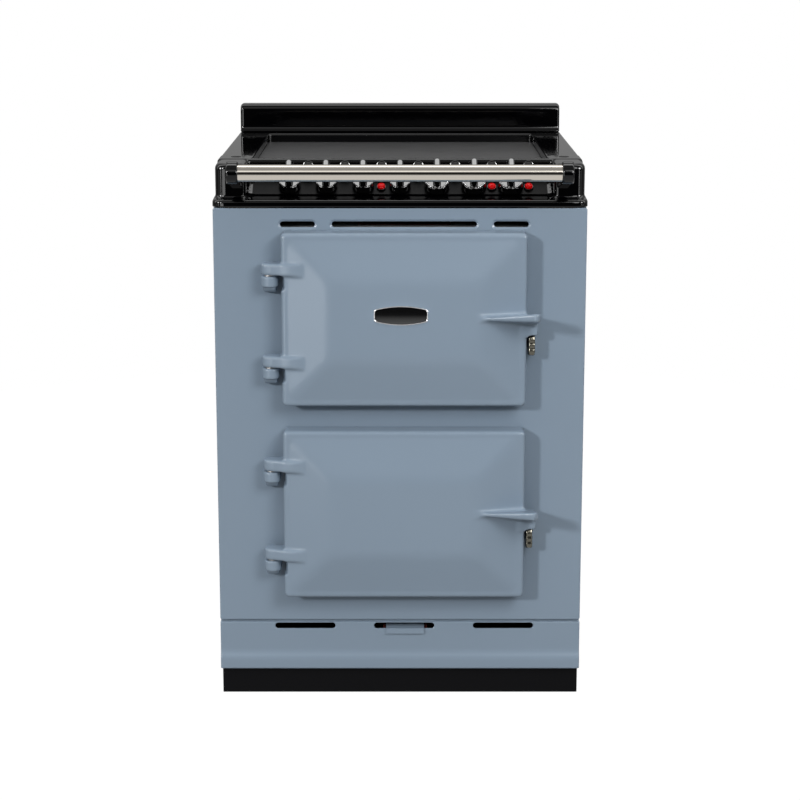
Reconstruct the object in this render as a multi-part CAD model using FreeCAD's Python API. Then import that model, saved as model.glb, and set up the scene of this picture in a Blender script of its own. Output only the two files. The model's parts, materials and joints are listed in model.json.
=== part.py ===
import FreeCAD, Part

import math
import os

# Range cooker with two ovens, a recessed glass hob, controls behind a handrail and cast doors.
# Millimetres, +Z up, front towards -Y. The origin lies on the floor, at the middle of the
# overall width and depth. "Behind" and "ahead" are distances from the front panel's face.

V = FreeCAD.Vector

# Overall sizes
body_width = 598.0
body_depth = 575.0
overall_height = 940.0
plinth_height = 47.0
handle_reach = 103.0
splash_height = 51.0
casting_height = 67.5
hob_height = overall_height - splash_height
body_top = hob_height - casting_height
front_y = (handle_reach - body_depth) / 2
half_width = body_width / 2
overrun = 2.0
sheet = 1.5
running_clearance = 0.05
working_gap = 0.3

# Front panel and lower panel
panel_thickness = 4.0
panel_return = 20.0
panel_return_wall = 3.0
panel_corner = 3.0
panel_seam = 4.0
lower_panel_height = 80.0
lower_panel_top = plinth_height + lower_panel_height
lower_panel_wall = 3.0
crease_rise = 19.0
crease_height = 9.0
crease_bottom = plinth_height + crease_rise
crease_top = crease_bottom + crease_height
crease_step = 5.0
slot_middle_x = 7.0
slot_height = 9.5
slot_drop = 26.1
slot_z = body_top - slot_drop
long_slot_length = 232.0
short_slot_length = 56.0
short_slot_offset = 171.0
slot_dish = 5.0
slot_dish_depth = 2.0
lower_slot_length = 100.0
lower_slot_height = 10.0
lower_slot_drop = 6.7
lower_slot_z = lower_panel_top - lower_slot_drop
lower_slot_offset = 164.5
lower_slot_dish = 1.2

# Plinth, base, side panels, back panel and feet
plinth_setback = 8.0
plinth_side_gap = 2.0
plinth_wall = 2.0
plinth_back_gap = 15.0
side_flange = 15.0
base_lip = 25.0
back_sheet = 1.5
foot_side_gap = 49.0
foot_x = half_width - foot_side_gap
foot_front = 60.0
foot_rear_gap = 60.0
foot_pad_radius = 20.0
foot_pad_height = 8.0
foot_pad_round = 2.0
foot_stud_radius = 5.0
foot_stud_rise = 13.0
nut_side_count = 6
nut_across = 17.0
nut_height = 8.0
vent_count = 9
vent_pitch = 12.0
vent_length = 120.0
vent_height = 4.0
vent_drop = 181.5

# Top casting
flange_height = 12.5
flange_overhang = 2.0
flange_half_width = half_width + flange_overhang
flange_corner = 20.0
casting_inset = 1.0
casting_half_width = half_width - casting_inset
casting_corner = 18.0
casting_wall = 5.0
casting_edge_round = 3.0
casting_lip_round = 2.0
pod_width = 50.0
pod_inner_x = casting_half_width - pod_width
pod_front = 25.0
pod_inner_corner = 8.0
pod_top_round = 8.0
slope_start = 57.5
slope_length = 42.0
slope_angle = math.radians(34.8)
hob_side_margin = 55.5
hob_half_width = casting_half_width - hob_side_margin
hob_front = 108.0
hob_rear_margin = 80.0
hob_rear = body_depth - hob_rear_margin
hob_corner = 6.0
hob_recess = 15.0
glass_thickness = 4.0
glass_gap = 0.5
ledge_width = 8.0
ledge_thickness = 3.0
well_wall = 4.0
plug_side_margin = 28.0
plug_front_margin = 11.0
plug_rear_margin = 52.0
plug_radius = 9.0
plug_rise = 1.5
plug_stem_radius = 6.0

# Splashback
splash_depth = 38.0
splash_rear_gap = 5.0
splash_rear = body_depth - splash_rear_gap
splash_front = splash_rear - splash_depth
splash_side_gap = 1.0
splash_half_width = casting_half_width - splash_side_gap
splash_top_round = 10.0
splash_rear_round = 5.0
splash_end_round = 3.0
splash_foot_round = 11.0
splash_wall = 5.0

# Hob elements and the tray under them
element_depth = 19.0
element_x_share = 0.474
element_front_share = 0.258
element_rear_share = 0.742
element_small_share = 0.375
element_large_share = 0.465
element_wall = 3.0
element_coil_shares = (0.25, 0.5, 0.75)
element_coil_width = 6.0
element_coil_height = 4.0
tray_inset = 2.0

# Control fascia, knobs, lamps and markers
fascia_thickness = 2.5
fascia_side_gap = 8.0
fascia_half_width = pod_inner_x - fascia_side_gap
fascia_margin = 3.5
hob_knob_count = 4
knob_count = 7
knob_pitch = fascia_half_width * 2 / (knob_count + 1)
knob_place = 21.3
knob_gap = 0.5
hob_skirt_share = 0.3
oven_skirt_share = 0.35
hob_skirt_radius = knob_pitch * hob_skirt_share
oven_skirt_radius = knob_pitch * oven_skirt_share
skirt_lip = 3.0
skirt_height = 13.0
skirt_top_share = 0.82
grip_length = 34.0
grip_width = 10.0
hob_grip_top = 46.0
oven_grip_top = 49.0
grip_round = 3.0
spindle_radius = 3.0
spindle_in_knob = 12.0
spindle_in_switch = 16.0
bush_radius = 5.0
bush_clearance = 0.3
switch_width = 38.0
switch_length = 30.0
switch_depth = 30.0
lamp_shift = 0.5
lamp_offset = knob_pitch / 2 - lamp_shift
lamp_place = 19.0
lamp_space = 1.2
bezel_wall = 1.3
bezel_height = 3.0
bezel_radius = knob_pitch / 2 - oven_skirt_radius - lamp_space
lamp_radius = bezel_radius - bezel_wall
lamp_height = 7.0
lamp_dome = 2.5
lamp_body_depth = 18.0
marker_offset = knob_pitch / 2
marker_drop = 10.0
marker_z = hob_height - marker_drop
marker_radius = 8.5
marker_thickness = 3.0
marker_round = 0.8

# Handrail
rail_ahead = 60.0
rail_drop = 4.0
rail_z = hob_height - rail_drop
rail_radius = 13.5
rail_end_gap = 46.0
rail_half_length = casting_half_width - rail_end_gap
rail_insert = 8.0
boss_radius = 17.0
boss_width = 18.5
boss_round = 3.0
bracket_root_drop = 35.0
bracket_root_height = 30.0
bracket_round = 6.0

# Doors
door_left_margin = 110.0
door_right_margin = 97.0
door_top_margin = 34.8
door_between = 41.4
door_bottom_margin = 52.3
door_width = body_width - door_left_margin - door_right_margin
door_middle_x = (door_left_margin - door_right_margin) / 2
door_left = door_middle_x - door_width / 2
door_right = door_middle_x + door_width / 2
door_zone_bottom = lower_panel_top + panel_seam + door_bottom_margin
door_zone_top = body_top - door_top_margin
door_height = (door_zone_top - door_zone_bottom - door_between) / 2
upper_door_z = door_zone_top - door_height / 2
lower_door_z = door_zone_bottom + door_height / 2
door_back = 6.0
rim_ahead = 40.0
crown_ahead = 55.0
door_corner = 8.0
rim_round = 5.0
rim_border = 10.0
pillow_base_corner = 5.0
crown_inset_x = 77.5
crown_inset_z = 77.0
crown_width = door_width - crown_inset_x * 2
crown_height = door_height - crown_inset_z * 2
crown_corner = 14.0
pillow_seat = 1.0
door_wall = 8.0
cavity_corner = 4.0
inner_panel_thickness = 1.2
inner_plug_inset = 34.0
inner_plug_depth = 3.0
inner_plug_corner = 12.0
insulation_gap = 1.0

# Hinges
pin_offset = 19.0
pin_x = door_left - pin_offset
pin_ahead = 22.0
knuckle_radius = 13.5
upper_arm_drop = 49.5
lower_arm_rise = 81.3
arm_drops = (upper_arm_drop, door_height - lower_arm_rise)
arm_height = 18.5
arm_reach = 36.0
arm_end_x = door_left + arm_reach
arm_rise = 6.0
arm_round = 3.0
arm_bend = 10.0
arm_seat = 4.0
lug_gap = 2.5
lug_height = 17.0
lug_foot = 12.0
lug_foot_side = 4.0
lug_belly = 5.0
lug_belly_round = 8.0
lug_round = 2.5
pin_radius = 4.5
pin_collar_radius = 8.0
pin_play = 0.1
pin_cover = 4.0
notch_depth = 5.5
notch_margin = 5.0

# Horn handle and catch
horn_root_length = 71.0
horn_overhang = 18.0
horn_tip_back = 7.0
horn_start_x = door_right - horn_root_length
horn_end_x = door_right + horn_overhang
horn_tip_x = horn_end_x - horn_tip_back
horn_root_ahead = 17.0
horn_nose = 7.0
horn_tip_thickness = 14.0
horn_start_thickness = 5.0
horn_middle = 5.5
horn_round = 2.0
horn_root_rise = -8.7
horn_tilt = math.radians(13.3)
leg_drop = 24.0
leg_ahead = 40.0
leg_round = 3.0
leg_wall = 3.5
catch_width = 11.0
catch_gap = 0.5
pocket_gap = 0.5
leg_pocket_right = horn_end_x - leg_wall
leg_pocket_left = leg_pocket_right - catch_width - pocket_gap * 2
leg_pocket_ahead = 36.5
leg_pocket_height = 12.0
catch_right = leg_pocket_right - pocket_gap
catch_left = catch_right - catch_width
catch_height = 34.0
catch_ahead = 35.0
catch_foot = 24.0
catch_throat = 16.0
catch_round = 5.0

# Badge plate on the upper door, left bare
badge_shift = 5.0
badge_lift = 11.8
badge_x = door_middle_x - badge_shift
badge_z = upper_door_z + badge_lift
badge_width = 86.0
badge_height = 31.4
badge_end_height = 19.5
badge_thickness = 2.5
badge_rim = 1.8
badge_recess = 0.8

# Ovens
oven_side_margin = 30.5
oven_edge_margin = 28.0
oven_rear_margin = 160.0
oven_width = door_width - oven_side_margin * 2
oven_height = door_height - oven_edge_margin * 2
oven_depth = body_depth - oven_rear_margin
liner_wall = 1.5
liner_corner = 14.0
liner_flange = 20.0
liner_flange_corner = 12.0
liner_gap = 0.5
insulation_wall = 22.0
seal_inset = 6.0
seal_width = 9.0
seal_round = 2.0
rail_depth = 25.0
rail_height = 20.0
rail_front = 60.0
rail_rear_gap = 15.0
deck_drop = 34.5
deck_z = body_top - deck_drop
deck_lip = 15.0

# Shelf runners and shelves
wire_radius = 2.5
bridge_radius = 2.0
runner_front = 20.0
runner_rear_gap = 60.0
runner_height_shares = (0.222, 0.444, 0.667)
runner_heights = [oven_height * share for share in runner_height_shares]
runner_post_inset = 30.0
shelf_wire_radius = 1.6
shelf_front = 28.0
shelf_rear_gap = 70.0
shelf_wire_count = 12
shelf_play = 1.0

# Grill element, oven fan, ring element, baffle and fan motor
grill_drop = 22.0
grill_radius = 3.5
grill_side_gap = 45.0
grill_half_width = oven_width / 2 - grill_side_gap
grill_front = 60.0
grill_bend = 18.0
grill_pass_count = 4
grill_tail = 30.0
ring_edge_gap = 20.5
ring_radius = oven_height / 2 - ring_edge_gap
ring_wire_radius = 3.5
ring_wall_gap = 12.0
ring_terminal_gap = 18.0
fan_edge_gap = 17.0
fan_radius = ring_radius - fan_edge_gap
fan_hub_radius = 12.0
fan_width = 14.0
fan_blade_count = 10
fan_blade_thickness = 1.5
fan_inner_share = 0.467
fan_inner_radius = fan_radius * fan_inner_share
fan_disc_thickness = 1.5
fan_wall_gap = 6.0
fan_shaft_radius = 4.0
fan_hole_radius = 6.0
baffle_ahead = 26.0
baffle_side_gap = 25.0
baffle_edge_gap = 12.5
baffle_half_width = oven_width / 2 - baffle_side_gap
baffle_half_height = oven_height / 2 - baffle_edge_gap
baffle_corner = 10.0
baffle_sheet = 1.2
baffle_post_radius = 4.0
baffle_post_inset = 12.0
baffle_hole_count = 8
baffle_hole_share = 0.12
baffle_ring_share = 0.56
baffle_hole_radius = fan_radius * baffle_hole_share
baffle_hole_ring = fan_radius * baffle_ring_share
baffle_slot_length = 120.0
baffle_slot_height = 8.0
baffle_slot_inset = 12.0
motor_radius = 32.0
motor_length = 50.0
shaft_end_gap = 10.0

# Cooling blower on the deck
blower_behind = 290.0
blower_radius = 80.0
blower_height = 44.0
blower_wall = 1.5
blower_mouth_radius = 42.0
duct_width = 150.0
duct_height = 15.0
duct_front = 40.0
rotor_radius = 62.0
rotor_inner_radius = 46.0
rotor_height = 30.0
rotor_blade_count = 16
rotor_disc = 2.0
rotor_hub_radius = 14.0
rotor_lift = 5.0
blower_pin_radius = 4.0

# Pull-out plate and its guide
tab_left_reach = 30.0
tab_right_reach = 33.0
tab_left = slot_middle_x - tab_left_reach
tab_right = slot_middle_x + tab_right_reach
tab_drop = 12.8
tab_thickness = 1.3
slide_length = 100.0
slide_travel = 60.0
slide_ear = 3.0
slide_ear_length = 4.0
guide_wall = 1.2
guide_side = 5.0
guide_flange = 12.0
guide_stop = 3.0
slide_play = 0.3

# Terminal box with its cable gland
terminal_side_gap = 99.0
terminal_rise = 103.0
terminal_x = half_width - terminal_side_gap
terminal_z = plinth_height + terminal_rise
terminal_width = 110.0
terminal_height = 80.0
terminal_depth = 45.0
terminal_corner = 4.0
gland_radius = 11.0
gland_bore_radius = 6.5
gland_inner_length = 8.0


def behind(distance):
    """Y at a distance behind the front panel's face."""
    return front_y + distance


def ahead(distance):
    """Y at a distance ahead of the front panel's face."""
    return front_y - distance


def box(x0, x1, y0, y1, z0, z1):
    return Part.makeBox(x1 - x0, y1 - y0, z1 - z0, V(x0, y0, z0))


def rod(start, end, radius):
    return Part.makeCylinder(radius, (end - start).Length, start, end - start)


def fuse(shapes):
    """One solid from touching or crossing solids."""
    whole = shapes[0]
    for shape in shapes[1:]:
        whole = whole.fuse(shape)
    return whole.removeSplitter()


def cut(shape, tools):
    return shape.cut(tools)


def rounded_wire(points, radii, closed=True):
    """Wire through the points, with a tangent arc at each corner whose radius is above zero."""
    corners = []
    for index, point in enumerate(points):
        inner = closed or 0 < index < len(points) - 1
        if radii[index] == 0 or not inner:
            corners.append((point, None, point))
            continue
        before = (points[index - 1] - point).normalize()
        after = (points[(index + 1) % len(points)] - point).normalize()
        half_turn = before.getAngle(after) / 2
        reach = radii[index] / math.tan(half_turn)
        centre = point + (before + after).normalize() * (radii[index] / math.sin(half_turn))
        middle = centre + (point - centre).normalize() * radii[index]
        corners.append((point + before * reach, middle, point + after * reach))
    edges = []
    for index, (start, middle, end) in enumerate(corners):
        last_end = corners[index - 1][2]
        if (closed or index > 0) and not last_end.isEqual(start, Part.Precision.confusion()):
            edges.append(Part.makeLine(last_end, start))
        if middle is not None:
            edges.append(Part.Arc(start, middle, end).toShape())
    return Part.Wire(edges)


def prism(points, radii, along):
    """Solid swept straight along a vector from a rounded outline."""
    return Part.Face(rounded_wire(points, radii)).extrude(along)


def plan_slab(x0, x1, y0, y1, z0, z1, radii):
    """Upright slab with a rounded plan; radii run from the front left corner, anticlockwise."""
    points = [V(x0, y0, z0), V(x1, y0, z0), V(x1, y1, z0), V(x0, y1, z0)]
    return prism(points, radii, V(0, 0, z1 - z0))


def front_points(x0, x1, z0, z1, y):
    return [V(x0, y, z0), V(x1, y, z0), V(x1, y, z1), V(x0, y, z1)]


def front_slab(x0, x1, y0, y1, z0, z1, radius):
    """Slab with a rounded outline as seen from the front."""
    return prism(front_points(x0, x1, z0, z1, y0), [radius] * 4, V(0, y1 - y0, 0))


def side_prism(outline, radii, x0, x1):
    """Solid from a side view outline of (y, z) points, from x0 to x1."""
    points = [V(x0, y, z) for y, z in outline]
    return prism(points, radii, V(x1 - x0, 0, 0))


def edges_at_x(shape, x):
    """Edges that lie wholly in the plane at x."""
    limit = Part.Precision.approximation()
    found = []
    for edge in shape.Edges:
        box_of_edge = edge.BoundBox
        if abs(box_of_edge.XMin - x) < limit and abs(box_of_edge.XMax - x) < limit:
            found.append(edge)
    return found


def edges_at_y(shape, y):
    """Edges that lie wholly in the plane at y."""
    limit = Part.Precision.approximation()
    found = []
    for edge in shape.Edges:
        box_of_edge = edge.BoundBox
        if abs(box_of_edge.YMin - y) < limit and abs(box_of_edge.YMax - y) < limit:
            found.append(edge)
    return found


def edges_at_z(shape, z):
    """Edges that lie wholly in the plane at z."""
    limit = Part.Precision.approximation()
    found = []
    for edge in shape.Edges:
        box_of_edge = edge.BoundBox
        if abs(box_of_edge.ZMin - z) < limit and abs(box_of_edge.ZMax - z) < limit:
            found.append(edge)
    return found


def bent_rod(points, bend, radius):
    """Round rod along straight runs joined by arcs."""
    path = rounded_wire(points, [bend] * len(points), closed=False)
    circle = Part.Wire(Part.makeCircle(radius, points[0], points[1] - points[0]))
    return path.makePipeShell([circle], True, False)


def polygon_prism(sides, across, centre, height):
    """Upright prism with equal sides, such as a nut."""
    reach = across / 2 / math.cos(math.pi / sides)
    points = []
    for index in range(sides):
        turn = 2 * math.pi * index / sides
        points.append(centre + V(reach * math.cos(turn), reach * math.sin(turn), 0))
    return prism(points, [0] * sides, V(0, 0, height))


saved = []


def save(name, solids):
    """Write one sub-part, made of one or more solids, to its file."""
    shape = solids[0] if len(solids) == 1 else Part.makeCompound(solids)
    shape.exportStep(os.path.join("parts", name + ".step"))
    saved.append((name, shape))


def on_slope(x, along, height):
    """Point on the control slope: x, distance up the slope, height off its face."""
    y = behind(slope_start) + along * math.cos(slope_angle) - height * math.sin(slope_angle)
    z = body_top + flange_height + along * math.sin(slope_angle) + height * math.cos(slope_angle)
    return V(x, y, z)


def slope_placement(x, along):
    """Placement whose Z is the slope's outward normal and whose Y runs up the slope."""
    turn = FreeCAD.Rotation(V(1, 0, 0), math.degrees(slope_angle))
    return FreeCAD.Placement(on_slope(x, along, 0), turn)


def knob_x(index):
    return (index - (knob_count - 1) / 2) * knob_pitch


def lamp_x(index):
    return knob_x(index) + lamp_offset


def lamp_indices():
    """A lamp stands to the right of the third, sixth and seventh knobs."""
    return (2, 5, 6)


def slots(centre_x, centre_z, length, height, dish, depth):
    """Cutting tool for a rounded slot with a dished rim in the front face."""
    half = length / 2
    rise = height / 2
    through = front_slab(centre_x - half, centre_x + half, behind(0) - crease_step,
                         behind(panel_return), centre_z - rise, centre_z + rise, rise)
    wide = front_points(centre_x - half - dish, centre_x + half + dish,
                        centre_z - rise - dish, centre_z + rise + dish, ahead(pillow_seat))
    narrow = front_points(centre_x - half, centre_x + half,
                          centre_z - rise, centre_z + rise, behind(depth))
    rim = Part.makeLoft([rounded_wire(wide, [rise + dish] * 4), rounded_wire(narrow, [rise] * 4)],
                        True, True)
    return [through, rim]


def oven_outline(grow):
    """Half width and half height of an oven's inside, grown by a distance."""
    return oven_width / 2 + grow, oven_height / 2 + grow


def oven_slab(centre_z, grow, y0, y1, radius):
    half_w, half_h = oven_outline(grow)
    return front_slab(door_middle_x - half_w, door_middle_x + half_w, y0, y1,
                      centre_z - half_h, centre_z + half_h, radius)


def make_front_panel():
    """Enamelled front plate with returned edges, two oven openings and the air slots."""
    bottom = lower_panel_top + panel_seam
    outer = front_slab(-half_width, half_width, behind(0), behind(panel_return),
                       bottom, body_top, panel_corner)
    outer = outer.makeFillet(panel_corner / 2, edges_at_y(outer, behind(0)))
    hollow = box(-half_width + panel_return_wall, half_width - panel_return_wall,
                 behind(panel_thickness), behind(panel_return) + overrun,
                 bottom + panel_return_wall, body_top - panel_return_wall)
    tools = [hollow]
    for centre_z in (upper_door_z, lower_door_z):
        tools.append(oven_slab(centre_z, liner_wall + liner_gap, ahead(overrun),
                               behind(panel_return), liner_corner + liner_gap))
    for centre_x, length in ((slot_middle_x - short_slot_offset, short_slot_length),
                             (slot_middle_x, long_slot_length),
                             (slot_middle_x + short_slot_offset, short_slot_length)):
        tools += slots(centre_x, slot_z, length, slot_height, slot_dish, slot_dish_depth)
    save("front_panel", [cut(outer, tools)])


def make_lower_panel():
    """Lower front panel with a stepped crease and three slots."""
    top = lower_panel_top
    face = ahead(crease_step)
    inner = behind(lower_panel_wall)
    outline = [(behind(0), top), (behind(0), crease_top), (face, crease_bottom), (face, plinth_height),
               (face + lower_panel_wall, plinth_height), (face + lower_panel_wall, crease_bottom),
               (inner, crease_top), (inner, top)]
    sheet_form = side_prism(outline, [0, 0, 0, 0, 0, 0, 0, 0], -half_width, half_width)
    cheeks = []
    for x0 in (-half_width, half_width - lower_panel_wall):
        cheeks.append(box(x0, x0 + lower_panel_wall, behind(0), behind(panel_return), plinth_height, top))
    tools = []
    for offset in (-lower_slot_offset, 0, lower_slot_offset):
        tools += slots(slot_middle_x + offset, lower_slot_z, lower_slot_length, lower_slot_height,
                       lower_slot_dish, lower_slot_dish)
    save("lower_panel", [cut(fuse([sheet_form] + cheeks), tools)])


def make_plinth():
    """Black skirt round the front and sides, open at the rear."""
    outer_x = half_width - plinth_side_gap
    front = plan_slab(-outer_x, outer_x, behind(plinth_setback), behind(body_depth - plinth_back_gap),
                      0, plinth_height, [plinth_side_gap, plinth_side_gap, 0, 0])
    hollow = box(-outer_x + plinth_wall, outer_x - plinth_wall, behind(plinth_setback + plinth_wall),
                 behind(body_depth), -overrun, plinth_height + overrun)
    save("plinth", [cut(front, [hollow])])


def make_side_panels():
    """Enamelled side sheets with flanges turned in at the bottom, top and rear."""
    front = behind(panel_return)
    rear = behind(body_depth - back_sheet)
    for name, side in (("side_panel_left", -1), ("side_panel_right", 1)):
        outer = side * half_width
        inner = side * (half_width - sheet)
        lip = side * (half_width - side_flange)
        left, right = sorted((outer, inner))
        lip_left, lip_right = sorted((outer, lip))
        pieces = [box(left, right, front, rear, plinth_height, body_top),
                  box(lip_left, lip_right, front, rear, plinth_height, plinth_height + sheet),
                  box(lip_left, lip_right, front, rear, body_top - sheet, body_top),
                  box(lip_left, lip_right, rear - sheet, rear, plinth_height, body_top)]
        save(name, [fuse(pieces)])


def make_back_panel():
    """Back sheet with rows of air slots behind the blower and the opening for the terminal box."""
    rear = behind(body_depth)
    plate = box(-half_width, half_width, rear - back_sheet, rear, plinth_height, body_top)
    tools = []
    for side in (-1, 1):
        centre_x = side * vent_length
        for index in range(vent_count):
            middle = body_top - vent_drop + index * vent_pitch
            tools.append(front_slab(centre_x - vent_length / 2, centre_x + vent_length / 2,
                                    rear - back_sheet - overrun, rear + overrun,
                                    middle - vent_height / 2, middle + vent_height / 2,
                                    vent_height / 2))
    tools.append(Part.makeCylinder(gland_radius, back_sheet + overrun * 2,
                                   V(terminal_x, rear - back_sheet - overrun, terminal_z), V(0, 1, 0)))
    save("back_panel", [cut(plate, tools)])


def foot_places():
    places = []
    for x in (-foot_x, foot_x):
        for y in (behind(foot_front), behind(body_depth - foot_rear_gap)):
            places.append((x, y))
    return places


def make_base():
    """Base tray on the side panels' flanges, and the four levelling feet."""
    half = half_width - sheet
    front = behind(panel_return)
    rear = behind(body_depth - back_sheet) - sheet
    floor_z = plinth_height + sheet
    tray = box(-half, half, front, rear, floor_z, floor_z + sheet)
    lips = [box(-half, half, front, front + sheet, floor_z, floor_z + base_lip),
            box(-half, half, rear - sheet, rear, floor_z, floor_z + base_lip)]
    holes = []
    feet = []
    for x, y in foot_places():
        holes.append(rod(V(x, y, floor_z - overrun), V(x, y, floor_z + overrun * 2), foot_stud_radius))
        pad = rod(V(x, y, 0), V(x, y, foot_pad_height), foot_pad_radius)
        pad = pad.makeFillet(foot_pad_round, edges_at_z(pad, foot_pad_height))
        stud = rod(V(x, y, foot_pad_height), V(x, y, plinth_height + foot_stud_rise), foot_stud_radius)
        lower_nut = polygon_prism(nut_side_count, nut_across, V(x, y, floor_z - nut_height), nut_height)
        upper_nut = polygon_prism(nut_side_count, nut_across, V(x, y, floor_z + sheet), nut_height)
        feet.append(fuse([pad, stud, lower_nut, upper_nut]))
    save("base_tray", [cut(fuse([tray] + lips), holes)])
    save("levelling_feet", feet)


def make_deck_and_rails():
    """Deck above the upper oven, and the cross rails that carry the ovens."""
    half = half_width - sheet
    front = behind(panel_return)
    rear = behind(body_depth - back_sheet) - sheet
    pieces = [box(-half, half, front, rear, deck_z, deck_z + sheet)]
    for left in (-half, half - sheet):
        pieces.append(box(left, left + sheet, front, rear, deck_z - deck_lip, deck_z + sheet))
    save("top_deck", [fuse(pieces)])
    rails = []
    for centre_z in (lower_door_z, upper_door_z):
        top = centre_z - oven_outline(liner_wall + insulation_wall)[1]
        for place in (rail_front, oven_depth - rail_rear_gap):
            bar = box(-half, half, behind(place), behind(place + rail_depth), top - rail_height, top)
            hollow = box(-half - overrun, half + overrun, behind(place) + sheet,
                         behind(place + rail_depth) - sheet, top - rail_height + sheet, top - sheet)
            rails.append(cut(bar, [hollow]))
    save("oven_rails", rails)


def cavity_under_slope():
    """Hollow under the trough and the control slope, as a side view outline."""
    depth = -(fascia_thickness + casting_wall)
    trough = body_top + flange_height - casting_wall
    start = (trough - on_slope(0, 0, depth).z) / math.sin(slope_angle)
    riser = riser_behind() + casting_wall
    end = (behind(riser) - on_slope(0, 0, depth).y) / math.cos(slope_angle)
    low = on_slope(0, start, depth)
    high = on_slope(0, end, depth)
    bottom = body_top - overrun
    return [(behind(casting_wall), bottom), (behind(casting_wall), trough), (low.y, low.z),
            (high.y, high.z), (high.y, bottom)]


def riser_behind():
    """Distance of the upright riser behind the front face, at the top of the slope."""
    return slope_start + slope_length * math.cos(slope_angle)


def make_top_casting():
    """Cast top with the trough, sloped control wall, riser, hob well and two front pods."""
    flange_top = body_top + flange_height
    rear = behind(body_depth)
    riser = behind(riser_behind())
    flange = plan_slab(-flange_half_width, flange_half_width, behind(0), rear, body_top, flange_top,
                       [flange_corner, flange_corner, 0, 0])
    flange = flange.makeFillet(casting_edge_round, edges_at_z(flange, flange_top))
    block = plan_slab(-casting_half_width, casting_half_width, riser, rear, flange_top - overrun, hob_height,
                      [0, 0, 0, 0])
    lips = [edge for edge in edges_at_z(block, hob_height) if edge.CenterOfMass.y < rear - overrun]
    block = block.makeFillet(casting_lip_round, lips)
    slope_top = body_top + flange_height + slope_length * math.sin(slope_angle)
    low = on_slope(0, 0, -fascia_thickness)
    high = on_slope(0, slope_length, -fascia_thickness)
    wedge = [(low.y, flange_top - overrun), (low.y, low.z), (high.y, high.z),
             (riser + casting_wall, slope_top), (riser + casting_wall, flange_top - overrun)]
    slope = side_prism(wedge, [0] * len(wedge), -pod_inner_x - overrun, pod_inner_x + overrun)
    pods = []
    for side in (-1, 1):
        x0, x1 = sorted((side * pod_inner_x, side * casting_half_width))
        radii = [casting_corner, pod_inner_corner, 0, 0]
        if side > 0:
            radii = [pod_inner_corner, casting_corner, 0, 0]
        pod = plan_slab(x0, x1, behind(pod_front), riser + casting_wall, flange_top - overrun, hob_height,
                        radii)
        rim = [edge for edge in edges_at_z(pod, hob_height) if edge.BoundBox.YMax < riser + overrun]
        pods.append(pod.makeFillet(pod_top_round, rim))
    outer = fuse([flange, block, slope] + pods)

    wall = casting_wall
    under_top = box(-casting_half_width + wall, casting_half_width - wall, riser + wall, rear - wall,
                    body_top - overrun, hob_height - wall)
    well_half = hob_half_width + well_wall
    ledge_z = hob_height - hob_recess - glass_thickness
    tub = box(-well_half, well_half, behind(hob_front - well_wall), behind(hob_rear + well_wall),
              ledge_z - ledge_thickness, hob_height)
    tools = [cut(under_top, [tub])]
    trough = cavity_under_slope()
    tools.append(side_prism(trough, [0] * len(trough), -pod_inner_x + wall, pod_inner_x - wall))
    for side in (-1, 1):
        x0, x1 = sorted((side * (pod_inner_x + wall), side * (casting_half_width - wall)))
        tools.append(box(x0, x1, behind(pod_front + wall), riser + wall + overrun, body_top - overrun,
                         hob_height - pod_top_round))
    well = plan_slab(-hob_half_width, hob_half_width, behind(hob_front), behind(hob_rear),
                     ledge_z, hob_height + overrun, [hob_corner] * 4)
    mouth = plan_slab(-hob_half_width + ledge_width, hob_half_width - ledge_width,
                      behind(hob_front + ledge_width), behind(hob_rear - ledge_width),
                      ledge_z - ledge_thickness - overrun, ledge_z + overrun, [hob_corner] * 4)
    tools += [well, mouth]
    for index in range(knob_count):
        tools.append(rod(on_slope(knob_x(index), knob_place, -fascia_thickness - casting_wall - overrun),
                         on_slope(knob_x(index), knob_place, 0), bush_radius + bush_clearance))
    for index in lamp_indices():
        tools.append(rod(on_slope(lamp_x(index), lamp_place, -fascia_thickness - casting_wall - overrun),
                         on_slope(lamp_x(index), lamp_place, 0), lamp_radius))
    for x, y in plug_centres():
        tools.append(rod(V(x, y, hob_height - casting_wall * 2), V(x, y, hob_height + overrun),
                         plug_stem_radius))
    save("top_casting", [cut(outer, tools)])


def plug_centres():
    """Places of the plugs: one near each corner of the hob."""
    x = casting_half_width - plug_side_margin
    rows = (behind(hob_front + plug_front_margin), behind(hob_rear - plug_rear_margin))
    return [(side * x, y) for side in (-1, 1) for y in rows]


def make_top_plugs():
    """Small domed plugs in the casting's top face."""
    plugs = []
    for x, y in plug_centres():
        head = rod(V(x, y, hob_height), V(x, y, hob_height + plug_rise), plug_radius)
        head = head.makeFillet(plug_rise / 2, edges_at_z(head, hob_height + plug_rise))
        stem = rod(V(x, y, hob_height - casting_wall), V(x, y, hob_height), plug_stem_radius)
        plugs.append(fuse([head, stem]))
    save("top_plugs", plugs)


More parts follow.
